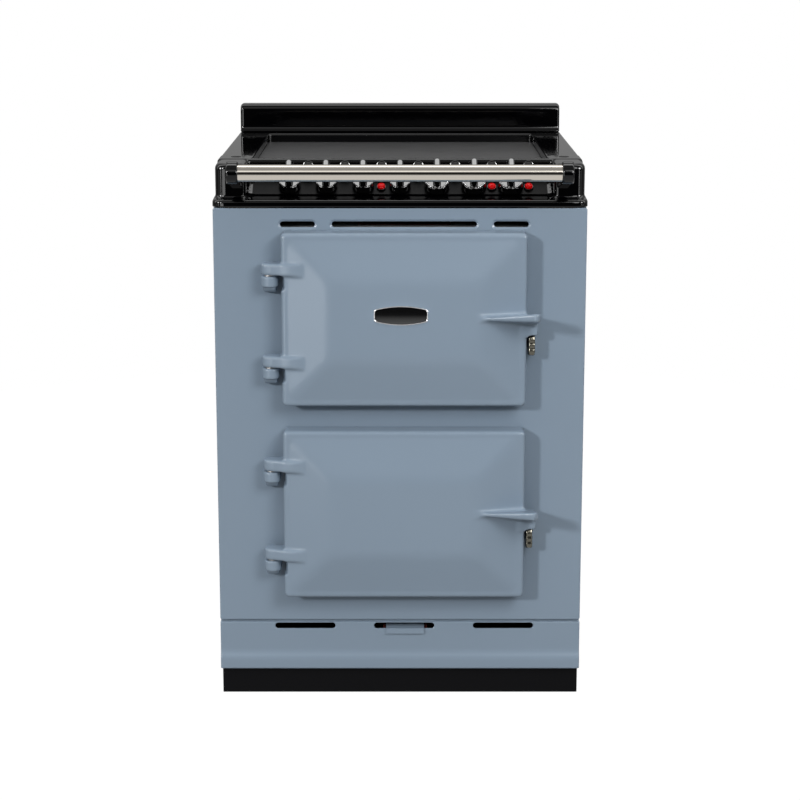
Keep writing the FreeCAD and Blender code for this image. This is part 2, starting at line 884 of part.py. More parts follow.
def make_splashback():
    """Cast splashback with a coved foot and a rounded top, hollow from below."""
    front = behind(splash_front)
    rear = behind(splash_rear)
    cove_start = V(0, front - splash_foot_round, hob_height)
    eighth = splash_foot_round * (1 - math.cos(math.pi / 4))
    cove_middle = V(0, front - eighth, hob_height + eighth)
    cove_end = V(0, front, hob_height + splash_foot_round)
    top = rounded_wire([cove_end, V(0, front, overall_height), V(0, rear, overall_height),
                        V(0, rear, hob_height), cove_start],
                       [0, splash_top_round, splash_rear_round, 0, 0], closed=False)
    cove = Part.Arc(cove_start, cove_middle, cove_end).toShape()
    face = Part.Face(Part.Wire(top.Edges + [cove]))
    face.translate(V(-splash_half_width, 0, 0))
    block = face.extrude(V(splash_half_width * 2, 0, 0))
    ends = [edge for x in (-splash_half_width, splash_half_width) for edge in edges_at_x(block, x)
            if edge.CenterOfMass.z > hob_height + splash_foot_round]
    block = block.makeFillet(splash_end_round, ends)
    hollow = box(-splash_half_width + splash_wall, splash_half_width - splash_wall,
                 front + splash_wall, rear - splash_wall,
                 hob_height - overrun, overall_height - splash_top_round)
    save("splashback", [cut(block, [hollow])])


def element_places():
    """Centre and radius of each radiant element: the large ones lie on one diagonal."""
    depth = hob_rear - hob_front
    span = min(hob_half_width, depth / 2)
    x = hob_half_width * element_x_share
    front = behind(hob_front + depth * element_front_share)
    rear = behind(hob_front + depth * element_rear_share)
    small = span * element_small_share
    large = span * element_large_share
    return [(-x, front, small), (-x, rear, large), (x, rear, small), (x, front, large)]


def make_hob():
    """Glass plate, the radiant elements pressed up to it, and the tray that holds them."""
    glass_top = hob_height - hob_recess
    glass = plan_slab(-hob_half_width + glass_gap, hob_half_width - glass_gap,
                      behind(hob_front + glass_gap), behind(hob_rear - glass_gap),
                      glass_top - glass_thickness, glass_top, [hob_corner] * 4)
    save("hob_glass", [glass])
    element_top = glass_top - glass_thickness
    elements = []
    for x, y, radius in element_places():
        centre = V(x, y, element_top - element_depth)
        pan = rod(centre, centre + V(0, 0, element_depth), radius)
        bowl = rod(centre + V(0, 0, element_wall), centre + V(0, 0, element_depth + overrun),
                   radius - element_wall)
        pan = cut(pan, [bowl])
        coils = []
        for share in element_coil_shares:
            outer = rod(centre + V(0, 0, element_wall),
                        centre + V(0, 0, element_wall + element_coil_height), radius * share)
            inner = rod(centre + V(0, 0, element_wall),
                        centre + V(0, 0, element_wall + element_coil_height),
                        radius * share - element_coil_width)
            coils.append(cut(outer, [inner]))
        elements.append(fuse([pan] + coils))
    save("hob_elements", elements)
    tray_x = hob_half_width + well_wall - tray_inset
    tray_front = behind(hob_front - well_wall + tray_inset)
    tray_rear = behind(hob_rear + well_wall - tray_inset)
    floor_z = element_top - element_depth - sheet
    tray_top = glass_top - glass_thickness - ledge_thickness
    outer = box(-tray_x, tray_x, tray_front, tray_rear, floor_z, tray_top)
    hollow = box(-tray_x + sheet, tray_x - sheet, tray_front + sheet, tray_rear - sheet,
                 floor_z + sheet, tray_top + overrun)
    save("element_tray", [cut(outer, [hollow])])


def make_fascia():
    """Plate on the control slope, with holes for the switch bushes and the lamps."""
    low = on_slope(-fascia_half_width, fascia_margin, -fascia_thickness)
    right = V(fascia_half_width * 2, 0, 0)
    up = on_slope(0, slope_length - fascia_margin, 0) - on_slope(0, fascia_margin, 0)
    out = on_slope(0, 0, fascia_thickness) - on_slope(0, 0, 0)
    plate = prism([low, low + right, low + right + up, low + up], [fascia_margin] * 4, out)
    tools = []
    for index in range(knob_count):
        tools.append(rod(on_slope(knob_x(index), knob_place, -fascia_thickness - overrun),
                         on_slope(knob_x(index), knob_place, overrun), bush_radius + bush_clearance))
    for index in lamp_indices():
        tools.append(rod(on_slope(lamp_x(index), lamp_place, -fascia_thickness - overrun),
                         on_slope(lamp_x(index), lamp_place, overrun), lamp_radius))
    save("control_fascia", [cut(plate, tools)])


def make_knob(name, index, skirt_radius, grip_top):
    """Knob with a skirt and a bar grip, pushed on the switch's spindle."""
    top_radius = skirt_radius * skirt_top_share
    profile = [V(0, 0, knob_gap), V(skirt_radius, 0, knob_gap), V(skirt_radius, 0, knob_gap + skirt_lip),
               V(top_radius, 0, skirt_height), V(0, 0, skirt_height)]
    skirt = Part.Face(rounded_wire(profile, [0, 0, skirt_lip / 2, skirt_lip, 0]))
    skirt = skirt.revolve(V(0, 0, 0), V(0, 0, 1))
    half_length = grip_length / 2
    half_grip = grip_width / 2
    grip = plan_slab(-half_grip, half_grip, -half_length, half_length, skirt_height - overrun, grip_top,
                     [half_grip - overrun / 2] * 4)
    grip = grip.makeFillet(grip_round, edges_at_z(grip, grip_top))
    bore = rod(V(0, 0, 0), V(0, 0, spindle_in_knob), spindle_radius)
    knob = cut(fuse([skirt, grip]), [bore])
    spindle = rod(V(0, 0, -spindle_in_switch), V(0, 0, spindle_in_knob), spindle_radius)
    place = slope_placement(knob_x(index), knob_place)
    for solid in (knob, spindle):
        solid.Placement = place
    save(name, [knob, spindle])


def make_controls():
    """Seven knobs, their switches, the lamps and the round markers."""
    for index in range(hob_knob_count):
        make_knob("hob_knob_" + str(index + 1), index, hob_skirt_radius, hob_grip_top)
    for step, name in enumerate(("function_knob", "upper_oven_knob", "lower_oven_knob")):
        make_knob(name, hob_knob_count + step, oven_skirt_radius, oven_grip_top)

    wall = fascia_thickness + casting_wall
    switches = []
    for index in range(knob_count):
        body = box(-switch_width / 2, switch_width / 2, -switch_length / 2, switch_length / 2,
                   -wall - switch_depth, -wall)
        bush = rod(V(0, 0, -wall), V(0, 0, 0), bush_radius)
        bore = rod(V(0, 0, -wall - switch_depth / 2), V(0, 0, overrun), spindle_radius + running_clearance)
        switch = cut(fuse([body, bush]), [bore])
        switch.Placement = slope_placement(knob_x(index), knob_place)
        switches.append(switch)
    save("control_switches", switches)

    lenses = []
    bezels = []
    for index in lamp_indices():
        lens = rod(V(0, 0, 0), V(0, 0, lamp_height), lamp_radius)
        lens = lens.makeFillet(lamp_dome, edges_at_z(lens, lamp_height))
        stem = rod(V(0, 0, -lamp_body_depth), V(0, 0, 0), lamp_radius)
        bezel = cut(rod(V(0, 0, 0), V(0, 0, bezel_height), bezel_radius),
                    [rod(V(0, 0, -overrun), V(0, 0, bezel_height + overrun), lamp_radius)])
        lens = fuse([lens, stem])
        for solid in (lens, bezel):
            solid.Placement = slope_placement(lamp_x(index), lamp_place)
        lenses.append(lens)
        bezels.append(bezel)
    save("neon_lamps", lenses)
    save("neon_bezels", bezels)

    riser = behind(riser_behind())
    markers = []
    for index in range(knob_count):
        disc = Part.makeCylinder(marker_radius, marker_thickness,
                                 V(knob_x(index) + marker_offset, riser - marker_thickness, marker_z),
                                 V(0, 1, 0))
        markers.append(disc.makeFillet(marker_round, edges_at_y(disc, riser - marker_thickness)))
    save("zone_markers", markers)


def make_handrail():
    """Round steel bar held by a cast bracket on the front of each pod."""
    y = ahead(rail_ahead)
    reach = rail_half_length + rail_insert
    save("handrail_bar", [rod(V(-reach, y, rail_z), V(reach, y, rail_z), rail_radius)])
    brackets = []
    for side in (-1, 1):
        x0, x1 = sorted((side * rail_half_length, side * (rail_half_length + boss_width)))
        boss = rod(V(x0, y, rail_z), V(x1, y, rail_z), boss_radius)
        outer_x = side * (rail_half_length + boss_width)
        boss = boss.makeFillet(boss_round, edges_at_x(boss, outer_x))
        root = behind(pod_front)
        root_bottom = rail_z - bracket_root_drop
        outline = [(root, root_bottom), (y + boss_radius, rail_z - boss_radius + bracket_round / 2),
                   (y, rail_z - boss_radius), (y, rail_z + boss_radius),
                   (root, root_bottom + bracket_root_height)]
        arm = side_prism(outline, [0] * len(outline), x0, x1)
        inner = rod(V(side * (rail_half_length - overrun), y, rail_z), V(side * reach, y, rail_z),
                    rail_radius)
        brackets.append(cut(fuse([boss, arm]), [inner]))
    save("handrail_brackets", brackets)


def face_ahead(x):
    """How far the door's face stands ahead of the front panel, at x left of its crown."""
    start = door_left + rim_border
    run = (door_width - crown_width) / 2 - rim_border
    share = min(max((x - start) / run, 0), 1)
    return rim_ahead + (crown_ahead - rim_ahead) * share


def arm_tops(centre_z):
    return [centre_z + door_height / 2 - drop for drop in arm_drops]


def hinge_arm(top):
    """Hinge arm: a knuckle round the pin that runs over the door's edge and fades into its face."""
    left = door_left
    inside = left + door_wall
    bottom = top - arm_height
    plan = [(pin_x, pin_ahead - knuckle_radius), (inside, pin_ahead - knuckle_radius),
            (inside, rim_ahead - arm_seat), (arm_end_x, rim_ahead), (arm_end_x, face_ahead(arm_end_x)),
            (left + arm_seat, rim_ahead + arm_rise), (pin_x, pin_ahead + knuckle_radius)]
    points = [V(x, ahead(distance), bottom) for x, distance in plan]
    arm = prism(points, [0, 0, 0, 0, 0, arm_bend, 0], V(0, 0, arm_height))
    knuckle = rod(V(pin_x, ahead(pin_ahead), bottom), V(pin_x, ahead(pin_ahead), top), knuckle_radius)
    tip = [edge for edge in edges_at_x(arm, arm_end_x)
           if edge.BoundBox.ZLength > arm_seat and edge.CenterOfMass.y < ahead(rim_ahead + overrun)]
    arm = arm.makeFillet(arm_seat, tip)
    face_edges = [edge for z in (bottom, top) for edge in edges_at_z(arm, z)
                  if edge.CenterOfMass.y < ahead(rim_ahead) and edge.CenterOfMass.x < arm_end_x]
    arm = arm.makeFillet(arm_round, face_edges)
    knuckle = knuckle.makeFillet(arm_round, edges_at_z(knuckle, top) + edges_at_z(knuckle, bottom))
    return fuse([arm, knuckle])


def horn_handle(centre_z):
    """Horn handle: a tilted fin that thickens out of the face, with a leg over the catch."""
    root_z = centre_z + horn_root_rise
    inside = door_right - door_wall
    plan = [(inside, horn_root_ahead), (horn_end_x, horn_root_ahead),
            (horn_end_x, handle_reach - horn_nose), (horn_tip_x, handle_reach),
            (horn_start_x, crown_ahead - pillow_seat), (horn_start_x, rim_ahead),
            (inside, rim_ahead)]

    def side(direction):
        points = []
        for x, distance in plan:
            share = (x - horn_start_x) / (horn_end_x - horn_start_x)
            thickness = horn_start_thickness + (horn_tip_thickness - horn_start_thickness) * share
            middle = root_z + horn_middle + (distance - horn_root_ahead) * math.tan(horn_tilt)
            points.append(V(x, ahead(distance), middle + direction * thickness / 2))
        return Part.makePolygon(points + points[:1])

    fin = Part.makeLoft([side(-1), side(1)], True, True)
    grip_edges = [edge for edge in fin.Edges
                  if edge.BoundBox.DiagonalLength > horn_nose and edge.CenterOfMass.y < ahead(rim_ahead)
                  and edge.CenterOfMass.x > horn_start_x + overrun
                  and edge.BoundBox.YLength > overrun]
    fin = fin.makeFillet(horn_round, grip_edges)
    bottom = centre_z - leg_drop
    leg = plan_slab(inside, horn_end_x, ahead(leg_ahead), ahead(horn_root_ahead), bottom,
                    root_z + horn_middle, [0, leg_round, 0, 0])
    pocket = box(leg_pocket_left, leg_pocket_right, ahead(leg_pocket_ahead), ahead(0),
                 bottom - overrun, bottom + leg_pocket_height)
    return fin, cut(leg, [pocket])


def make_door(prefix, centre_z):
    """One cast door with its pillow face, hinge arms and horn, its lining and its pins."""
    left = door_left
    right = door_right
    bottom = centre_z - door_height / 2
    top = centre_z + door_height / 2
    rim = front_slab(left, right, ahead(rim_ahead), ahead(door_back), bottom, top, door_corner)
    rim = rim.makeFillet(rim_round, edges_at_y(rim, ahead(rim_ahead)))
    base = front_points(left + rim_border, right - rim_border, bottom + rim_border, top - rim_border,
                        ahead(rim_ahead - pillow_seat))
    crown = front_points(door_middle_x - crown_width / 2, door_middle_x + crown_width / 2,
                         centre_z - crown_height / 2, centre_z + crown_height / 2, ahead(crown_ahead))
    pillow = Part.makeLoft([rounded_wire(base, [pillow_base_corner] * 4),
                            rounded_wire(crown, [crown_corner] * 4)], True, True)
    fin, leg = horn_handle(centre_z)
    arms = [hinge_arm(arm_top) for arm_top in arm_tops(centre_z)]
    outer = fuse([rim, pillow, fin, leg] + arms)

    wall = door_wall
    cavity = front_slab(left + wall, right - wall, ahead(rim_ahead - wall / 2), ahead(0),
                        bottom + wall, top - wall, cavity_corner)
    roof_base = front_points(left + wall * 3, right - wall * 3, bottom + wall * 3, top - wall * 3,
                             ahead(rim_ahead - wall / 2 - pillow_seat))
    roof_top = front_points(door_middle_x - crown_width / 2, door_middle_x + crown_width / 2,
                            centre_z - crown_height / 2, centre_z + crown_height / 2,
                            ahead(crown_ahead - wall))
    roof = Part.makeLoft([rounded_wire(roof_base, [cavity_corner] * 4),
                          rounded_wire(roof_top, [cavity_corner] * 4)], True, True)
    tools = [cavity, roof]
    pins = []
    for arm_top in arm_tops(centre_z):
        arm_bottom = arm_top - arm_height
        lug_top = arm_bottom - lug_gap
        centre = V(pin_x, ahead(pin_ahead), 0)
        tools.append(rod(centre + V(0, 0, arm_bottom - overrun), centre + V(0, 0, arm_top - pin_cover),
                         pin_radius))
        shank = rod(centre + V(0, 0, lug_top - lug_height + pin_cover),
                    centre + V(0, 0, arm_top - pin_cover), pin_radius)
        collar = rod(centre + V(0, 0, lug_top + pin_play), centre + V(0, 0, arm_bottom), pin_collar_radius)
        pins.append(fuse([shank, collar]))
        tools.append(front_slab(left - notch_depth * 2, left + notch_depth, ahead(crown_ahead),
                                ahead(0), lug_top - lug_height - notch_margin, arm_bottom,
                                notch_depth))
    save(prefix + "_door", [cut(outer, tools)])
    save(prefix + "_door_pins", pins)

    skin = inner_panel_thickness
    panel = front_slab(left + wall, right - wall, ahead(door_back + skin), ahead(door_back),
                       bottom + wall, top - wall, cavity_corner)
    inset = inner_plug_inset
    dish = front_slab(left + inset, right - inset, ahead(door_back + skin / 2),
                      ahead(door_back - inner_plug_depth), bottom + inset, top - inset, inner_plug_corner)
    hollow = front_slab(left + inset + skin, right - inset - skin, ahead(door_back + skin * 2),
                        ahead(door_back - inner_plug_depth + skin), bottom + inset + skin,
                        top - inset - skin, inner_plug_corner)
    save(prefix + "_door_lining", [cut(fuse([panel, dish]), [hollow])])
    pad = front_slab(left + wall + insulation_gap, right - wall - insulation_gap,
                     ahead(rim_ahead - wall / 2 - insulation_gap), ahead(door_back + skin),
                     bottom + wall + insulation_gap, top - wall - insulation_gap, cavity_corner)
    save(prefix + "_door_insulation", [pad])


def make_hinge_lugs():
    """Four lugs on the front panel, each with a bore for a pin and a bellied foot."""
    lugs = []
    for centre_z in (upper_door_z, lower_door_z):
        for arm_top in arm_tops(centre_z):
            top = arm_top - arm_height - lug_gap
            bottom = top - lug_height
            centre = V(pin_x, ahead(pin_ahead), bottom)
            nose_round = knuckle_radius - overrun / 2
            head = plan_slab(pin_x - knuckle_radius, pin_x + knuckle_radius,
                             ahead(pin_ahead + knuckle_radius), ahead(0), bottom, top,
                             [nose_round, nose_round, 0, 0])
            rim = [edge for z in (bottom, top) for edge in edges_at_z(head, z)
                   if edge.CenterOfMass.y < ahead(overrun)]
            head = head.makeFillet(lug_round, rim)
            foot_x = knuckle_radius - lug_foot_side
            foot_top = bottom + lug_round
            outline = [(ahead(0), foot_top), (ahead(pin_ahead), foot_top),
                       (ahead(pin_ahead), bottom - lug_belly), (ahead(0), bottom - lug_foot)]
            foot = side_prism(outline, [0, 0, lug_belly_round, 0], pin_x - foot_x, pin_x + foot_x)
            belly = [edge for x in (pin_x - foot_x, pin_x + foot_x) for edge in edges_at_x(foot, x)
                     if edge.CenterOfMass.z < foot_top - overrun and edge.CenterOfMass.y < ahead(overrun)]
            foot = foot.makeFillet(lug_round, belly)
            bore = rod(centre - V(0, 0, lug_foot), centre + V(0, 0, lug_height + overrun),
                       pin_radius + running_clearance)
            lugs.append(cut(fuse([head, foot]), [bore]))
    save("hinge_lugs", lugs)


def make_catches():
    """Metal catch beside each door: a curved nose on a foot against the front panel."""
    catches = []
    for centre_z in (upper_door_z, lower_door_z):
        top = centre_z - leg_drop - catch_gap
        bottom = top - catch_height
        middle = (top + bottom) / 2
        outline = [(ahead(0), middle - catch_foot / 2), (ahead(catch_throat), middle - catch_foot / 2),
                   (ahead(catch_throat), bottom), (ahead(catch_ahead), bottom), (ahead(catch_ahead), top),
                   (ahead(catch_throat), top), (ahead(catch_throat), middle + catch_foot / 2),
                   (ahead(0), middle + catch_foot / 2)]
        radii = [0, 0, catch_round, catch_round, catch_round, catch_round, 0, 0]
        catches.append(side_prism(outline, radii, catch_left, catch_right))
    save("door_catches", catches)


def barrel_wire(width, height, end_height, y):
    """Barrel outline with bowed top and bottom edges and upright ends."""
    half = width / 2
    rise = height / 2
    end = end_height / 2
    corners = [V(-half, 0, -end), V(half, 0, -end), V(half, 0, end), V(-half, 0, end)]
    place = V(badge_x, y, badge_z)
    bottom = Part.Arc(corners[0] + place, V(0, 0, -rise) + place, corners[1] + place).toShape()
    right = Part.makeLine(corners[1] + place, corners[2] + place)
    upper = Part.Arc(corners[2] + place, V(0, 0, rise) + place, corners[3] + place).toShape()
    left = Part.makeLine(corners[3] + place, corners[0] + place)
    return Part.Wire([bottom, right, upper, left])


def make_badge():
    """Bare badge: a bright rim round a black plate."""
    seat = ahead(crown_ahead)
    face = ahead(crown_ahead + badge_thickness)
    outer = Part.Face(barrel_wire(badge_width, badge_height, badge_end_height, seat))
    outer = outer.extrude(V(0, face - seat, 0))
    shrink = badge_rim * 2
    inner = Part.Face(barrel_wire(badge_width - shrink, badge_height - shrink,
                                  badge_end_height - shrink, seat))
    hole = inner.extrude(V(0, face - seat, 0))
    plate = inner.extrude(V(0, face - seat + badge_recess, 0))
    save("badge_rim", [cut(outer, [hole])])
    save("badge_plate", [plate])


def oven_liner(centre_z):
    """Oven liner with its front flange."""
    rear = behind(oven_depth)
    outer = oven_slab(centre_z, liner_wall, behind(0), rear + liner_wall, liner_corner + liner_wall)
    flange = oven_slab(centre_z, liner_flange, ahead(liner_wall), behind(0), liner_flange_corner)
    inner = oven_slab(centre_z, 0, ahead(overrun), rear, liner_corner)
    return cut(fuse([outer, flange]), [inner])


def make_ovens():
    """Liners, insulation, seals, runners and shelves of both ovens."""
    seals = []
    blankets = []
    low, middle, high = runner_heights
    for prefix, centre_z, levels in (("upper", upper_door_z, [middle]),
                                     ("lower", lower_door_z, [low, high])):
        liner = oven_liner(centre_z)
        if prefix == "lower":
            liner = cut(liner, rear_wall_holes())
        else:
            liner = cut(liner, grill_holes())
        save(prefix + "_oven_liner", [liner])
        grow = liner_wall + insulation_wall
        blanket = oven_slab(centre_z, grow, behind(panel_thickness),
                            behind(oven_depth + grow), liner_corner)
        core = oven_slab(centre_z, liner_wall, ahead(overrun), behind(oven_depth + liner_wall),
                         liner_corner + liner_wall)
        holes = rear_wall_holes() if prefix == "lower" else grill_holes()
        blankets.append(cut(blanket, [core] + holes))
        seal_outer = liner_flange - seal_inset
        ring = oven_slab(centre_z, seal_outer, ahead(door_back - working_gap), ahead(liner_wall),
                         liner_flange_corner)
        ring = ring.makeFillet(seal_round, edges_at_y(ring, ahead(door_back - working_gap)))
        hole = oven_slab(centre_z, seal_outer - seal_width, ahead(door_back + overrun), ahead(0),
                         liner_corner)
        seals.append(cut(ring, [hole]))
        save(prefix + "_shelf_runners", shelf_runners(centre_z))
        save(prefix + "_oven_shelves", [shelf(centre_z, level) for level in levels])
    save("oven_insulation", blankets)
    save("door_seals", seals)


def shelf_runners(centre_z):
    """Wire side frame in each side of the oven: three rails on two upright wires."""
    floor_z = centre_z - oven_height / 2
    front = behind(runner_front)
    rear = behind(oven_depth - runner_rear_gap)
    frames = []
    for side in (-1, 1):
        wall_x = door_middle_x + side * oven_width / 2
        post_x = wall_x - side * wire_radius
        rail_x = post_x - side * wire_radius * 2
        low = floor_z + runner_heights[0] - runner_post_inset
        high = floor_z + runner_heights[-1] + runner_post_inset
        pieces = []
        for y in (front + runner_post_inset, rear - runner_post_inset):
            pieces.append(rod(V(post_x, y, low), V(post_x, y, high), wire_radius))
        for height in runner_heights:
            z = floor_z + height
            pieces.append(rod(V(rail_x, front, z), V(rail_x, rear, z), wire_radius))
            for y in (front + runner_post_inset, rear - runner_post_inset):
                pieces.append(rod(V(post_x, y, z), V(rail_x, y, z), bridge_radius))
        frames.append(fuse(pieces))
    return frames


def shelf(centre_z, height):
    """Wire shelf: a frame that lies on a pair of rails, with wires across it."""
    floor_z = centre_z - oven_height / 2
    z = floor_z + height + wire_radius * 2
    half = oven_width / 2 - wire_radius * 3 - shelf_play
    x0 = door_middle_x - half
    x1 = door_middle_x + half
    front = behind(shelf_front)
    rear = behind(oven_depth - shelf_rear_gap)
    corners = [V(x0, front, z), V(x1, front, z), V(x1, rear, z), V(x0, rear, z)]
    pieces = [rod(corners[index - 1], corners[index], wire_radius) for index in range(4)]
    pieces += [Part.makeSphere(wire_radius, corner) for corner in corners]
    pitch = (x1 - x0) / (shelf_wire_count + 1)
    for index in range(shelf_wire_count):
        x = x0 + pitch * (index + 1)
        pieces.append(rod(V(x, front, z), V(x, rear, z), shelf_wire_radius))
    return fuse(pieces)


def grill_holes():
    """Holes in the upper liner's rear wall for the grill element's two tails."""
    z = upper_door_z + oven_height / 2 - grill_drop
    holes = []
    for side in (-1, 1):
        x = door_middle_x + side * grill_half_width
        holes.append(rod(V(x, behind(oven_depth) - overrun, z),
                         V(x, behind(oven_depth + insulation_wall * 2), z), grill_radius))
    return holes


def make_grill():
    """Grill element: one rod that runs forward and back under the oven's roof."""
    z = upper_door_z + oven_height / 2 - grill_drop
    tail = behind(oven_depth + liner_wall + insulation_wall + grill_tail)
    front = behind(grill_front)
    rear = behind(oven_depth - grill_tail)
    pitch = grill_half_width * 2 / (grill_pass_count * 2 - 1)
    points = [V(door_middle_x - grill_half_width, tail, z)]
    for index in range(grill_pass_count * 2 - 1):
        x = door_middle_x - grill_half_width + pitch * index
        y = front if index % 2 == 0 else rear
        points += [V(x, y, z), V(x + pitch, y, z)]
    points.append(V(door_middle_x + grill_half_width, tail, z))
    bend = min(grill_bend, pitch * (1 - grill_radius / grill_half_width) / 2)
    save("grill_element", [bent_rod(points, bend, grill_radius)])


def rear_wall_holes():
    """Holes in the lower liner's rear wall for the fan shaft and the ring element's tails."""
    holes = []
    start = behind(oven_depth) - overrun
    end = behind(oven_depth + insulation_wall * 2)
    holes.append(rod(V(door_middle_x, start, lower_door_z), V(door_middle_x, end, lower_door_z),
                     fan_hole_radius))
    for side in (-1, 1):
        x = door_middle_x + side * ring_terminal_gap / 2
        z = lower_door_z - ring_radius
        holes.append(rod(V(x, start, z), V(x, end, z), ring_wire_radius))
    return holes


def make_oven_fan():
    """Fan behind the baffle, its motor behind the insulation, and the ring element round it."""
    wall = behind(oven_depth)
    back_y = wall - fan_wall_gap
    centre = V(door_middle_x, 0, lower_door_z)

    def at(y):
        return V(centre.x, y, centre.z)

    disc = rod(at(back_y - fan_disc_thickness), at(back_y), fan_radius)
    hub = rod(at(back_y - fan_width), at(back_y), fan_hub_radius)
    pieces = [disc, hub]
    for index in range(fan_blade_count):
        blade = box(fan_inner_radius, fan_radius, back_y - fan_width, back_y - fan_disc_thickness / 2,
                    -fan_blade_thickness / 2, fan_blade_thickness / 2)
        blade.rotate(V(0, 0, 0), V(0, 1, 0), 360 / fan_blade_count * index)
        blade.translate(centre)
        pieces.append(blade)
    motor_front = behind(oven_depth + liner_wall + insulation_wall)
    shaft_end = motor_front + motor_length - shaft_end_gap
    pieces.append(rod(at(back_y - fan_width), at(shaft_end), fan_shaft_radius))
    save("oven_fan", [fuse(pieces)])

    body = rod(at(motor_front), at(motor_front + motor_length), motor_radius)
    bore = rod(at(motor_front - overrun), at(shaft_end + running_clearance),
               fan_shaft_radius + running_clearance)
    save("fan_motor", [cut(body, [bore])])

    y = wall - ring_wall_gap
    half_gap = math.asin(ring_terminal_gap / 2 / ring_radius)
    start = V(centre.x - ring_terminal_gap / 2, y, centre.z - ring_radius * math.cos(half_gap))
    middle = V(centre.x, y, centre.z + ring_radius)
    end = V(centre.x + ring_terminal_gap / 2, y, centre.z - ring_radius * math.cos(half_gap))
    path = Part.Wire([Part.Arc(start, middle, end).toShape()])
    tangent = V(math.cos(half_gap), 0, -math.sin(half_gap))
    ring = path.makePipeShell([Part.Wire(Part.makeCircle(ring_wire_radius, start, tangent))], True, False)
    tail = behind(oven_depth + liner_wall + insulation_wall + grill_tail)
    z = lower_door_z - ring_radius
    tails = []
    for side in (-1, 1):
        x = centre.x + side * ring_terminal_gap / 2
        tails.append(rod(V(x, y, z), V(x, tail, z), ring_wire_radius))
        tails.append(Part.makeSphere(ring_wire_radius, V(x, y, z)))
    save("ring_element", [fuse([ring] + tails)])


def make_baffle():
    """Holed plate ahead of the fan, on four posts from the liner's rear wall."""
    wall = behind(oven_depth)
    front = wall - baffle_ahead
    plate = front_slab(door_middle_x - baffle_half_width, door_middle_x + baffle_half_width,
                       front - baffle_sheet, front, lower_door_z - baffle_half_height,
                       lower_door_z + baffle_half_height, baffle_corner)
    tools = []
    for index in range(baffle_hole_count):
        turn = 2 * math.pi * index / baffle_hole_count
        x = door_middle_x + baffle_hole_ring * math.cos(turn)
        z = lower_door_z + baffle_hole_ring * math.sin(turn)
        tools.append(rod(V(x, front - overrun * 2, z), V(x, front + overrun, z), baffle_hole_radius))
    for side in (-1, 1):
        z = lower_door_z + side * (baffle_half_height - baffle_slot_inset)
        tools.append(front_slab(door_middle_x - baffle_slot_length / 2,
                                door_middle_x + baffle_slot_length / 2, front - overrun * 2,
                                front + overrun, z - baffle_slot_height / 2, z + baffle_slot_height / 2,
                                baffle_slot_height / 2))
    pieces = [cut(plate, tools)]
    for side_x in (-1, 1):
        for side_z in (-1, 1):
            x = door_middle_x + side_x * (baffle_half_width - baffle_post_inset)
            z = lower_door_z + side_z * (baffle_half_height - baffle_post_inset)
            pieces.append(rod(V(x, front, z), V(x, wall, z), baffle_post_radius))
    save("fan_baffle", [fuse(pieces)])


def make_blower():
    """Cooling blower that lies on the deck and blows forward to the front panel's slots."""
    floor_z = deck_z + sheet
    centre = V(slot_middle_x, behind(blower_behind), floor_z)
    up = V(0, 0, 1)
    shell = rod(centre, centre + up * blower_height, blower_radius)
    duct = box(centre.x - duct_width / 2, centre.x + duct_width / 2, behind(duct_front), centre.y,
               floor_z, floor_z + duct_height)
    hollow = rod(centre + up * blower_wall, centre + up * (blower_height - blower_wall),
                 blower_radius - blower_wall)
    passage = box(centre.x - duct_width / 2 + blower_wall, centre.x + duct_width / 2 - blower_wall,
                  behind(duct_front) - overrun, centre.y, floor_z + blower_wall,
                  floor_z + duct_height - blower_wall)
    mouth = rod(centre + up * (blower_height - blower_wall - overrun),
                centre + up * (blower_height + overrun), blower_mouth_radius)
    housing = cut(fuse([shell, duct]), [hollow, passage, mouth])
    pin = rod(centre + up * blower_wall, centre + up * (rotor_lift + rotor_height), blower_pin_radius)
    save("blower_housing", [fuse([housing, pin])])

    base = centre + up * rotor_lift
    disc = rod(base, base + up * rotor_disc, rotor_radius)
    hub = rod(base, base + up * rotor_height, rotor_hub_radius)
    crown = cut(rod(base + up * (rotor_height - rotor_disc), base + up * rotor_height, rotor_radius),
                [rod(base, base + up * (rotor_height + overrun), rotor_inner_radius)])
    pieces = [disc, hub, crown]
    for index in range(rotor_blade_count):
        blade = box(rotor_inner_radius, rotor_radius, -rotor_disc / 2, rotor_disc / 2,
                    rotor_disc / 2, rotor_height - rotor_disc / 2)
        blade.rotate(V(0, 0, 0), up, 360 / rotor_blade_count * index)
        blade.translate(base)
        pieces.append(blade)
    bore = rod(base - up * overrun, base + up * (rotor_height + overrun),
               blower_pin_radius + running_clearance)
    save("blower_rotor", [cut(fuse(pieces), [bore])])


def slide_z():
    """Underside of the pull-out plate, a little above the lower edge of its slot."""
    return lower_slot_z - lower_slot_height / 2 + slide_play


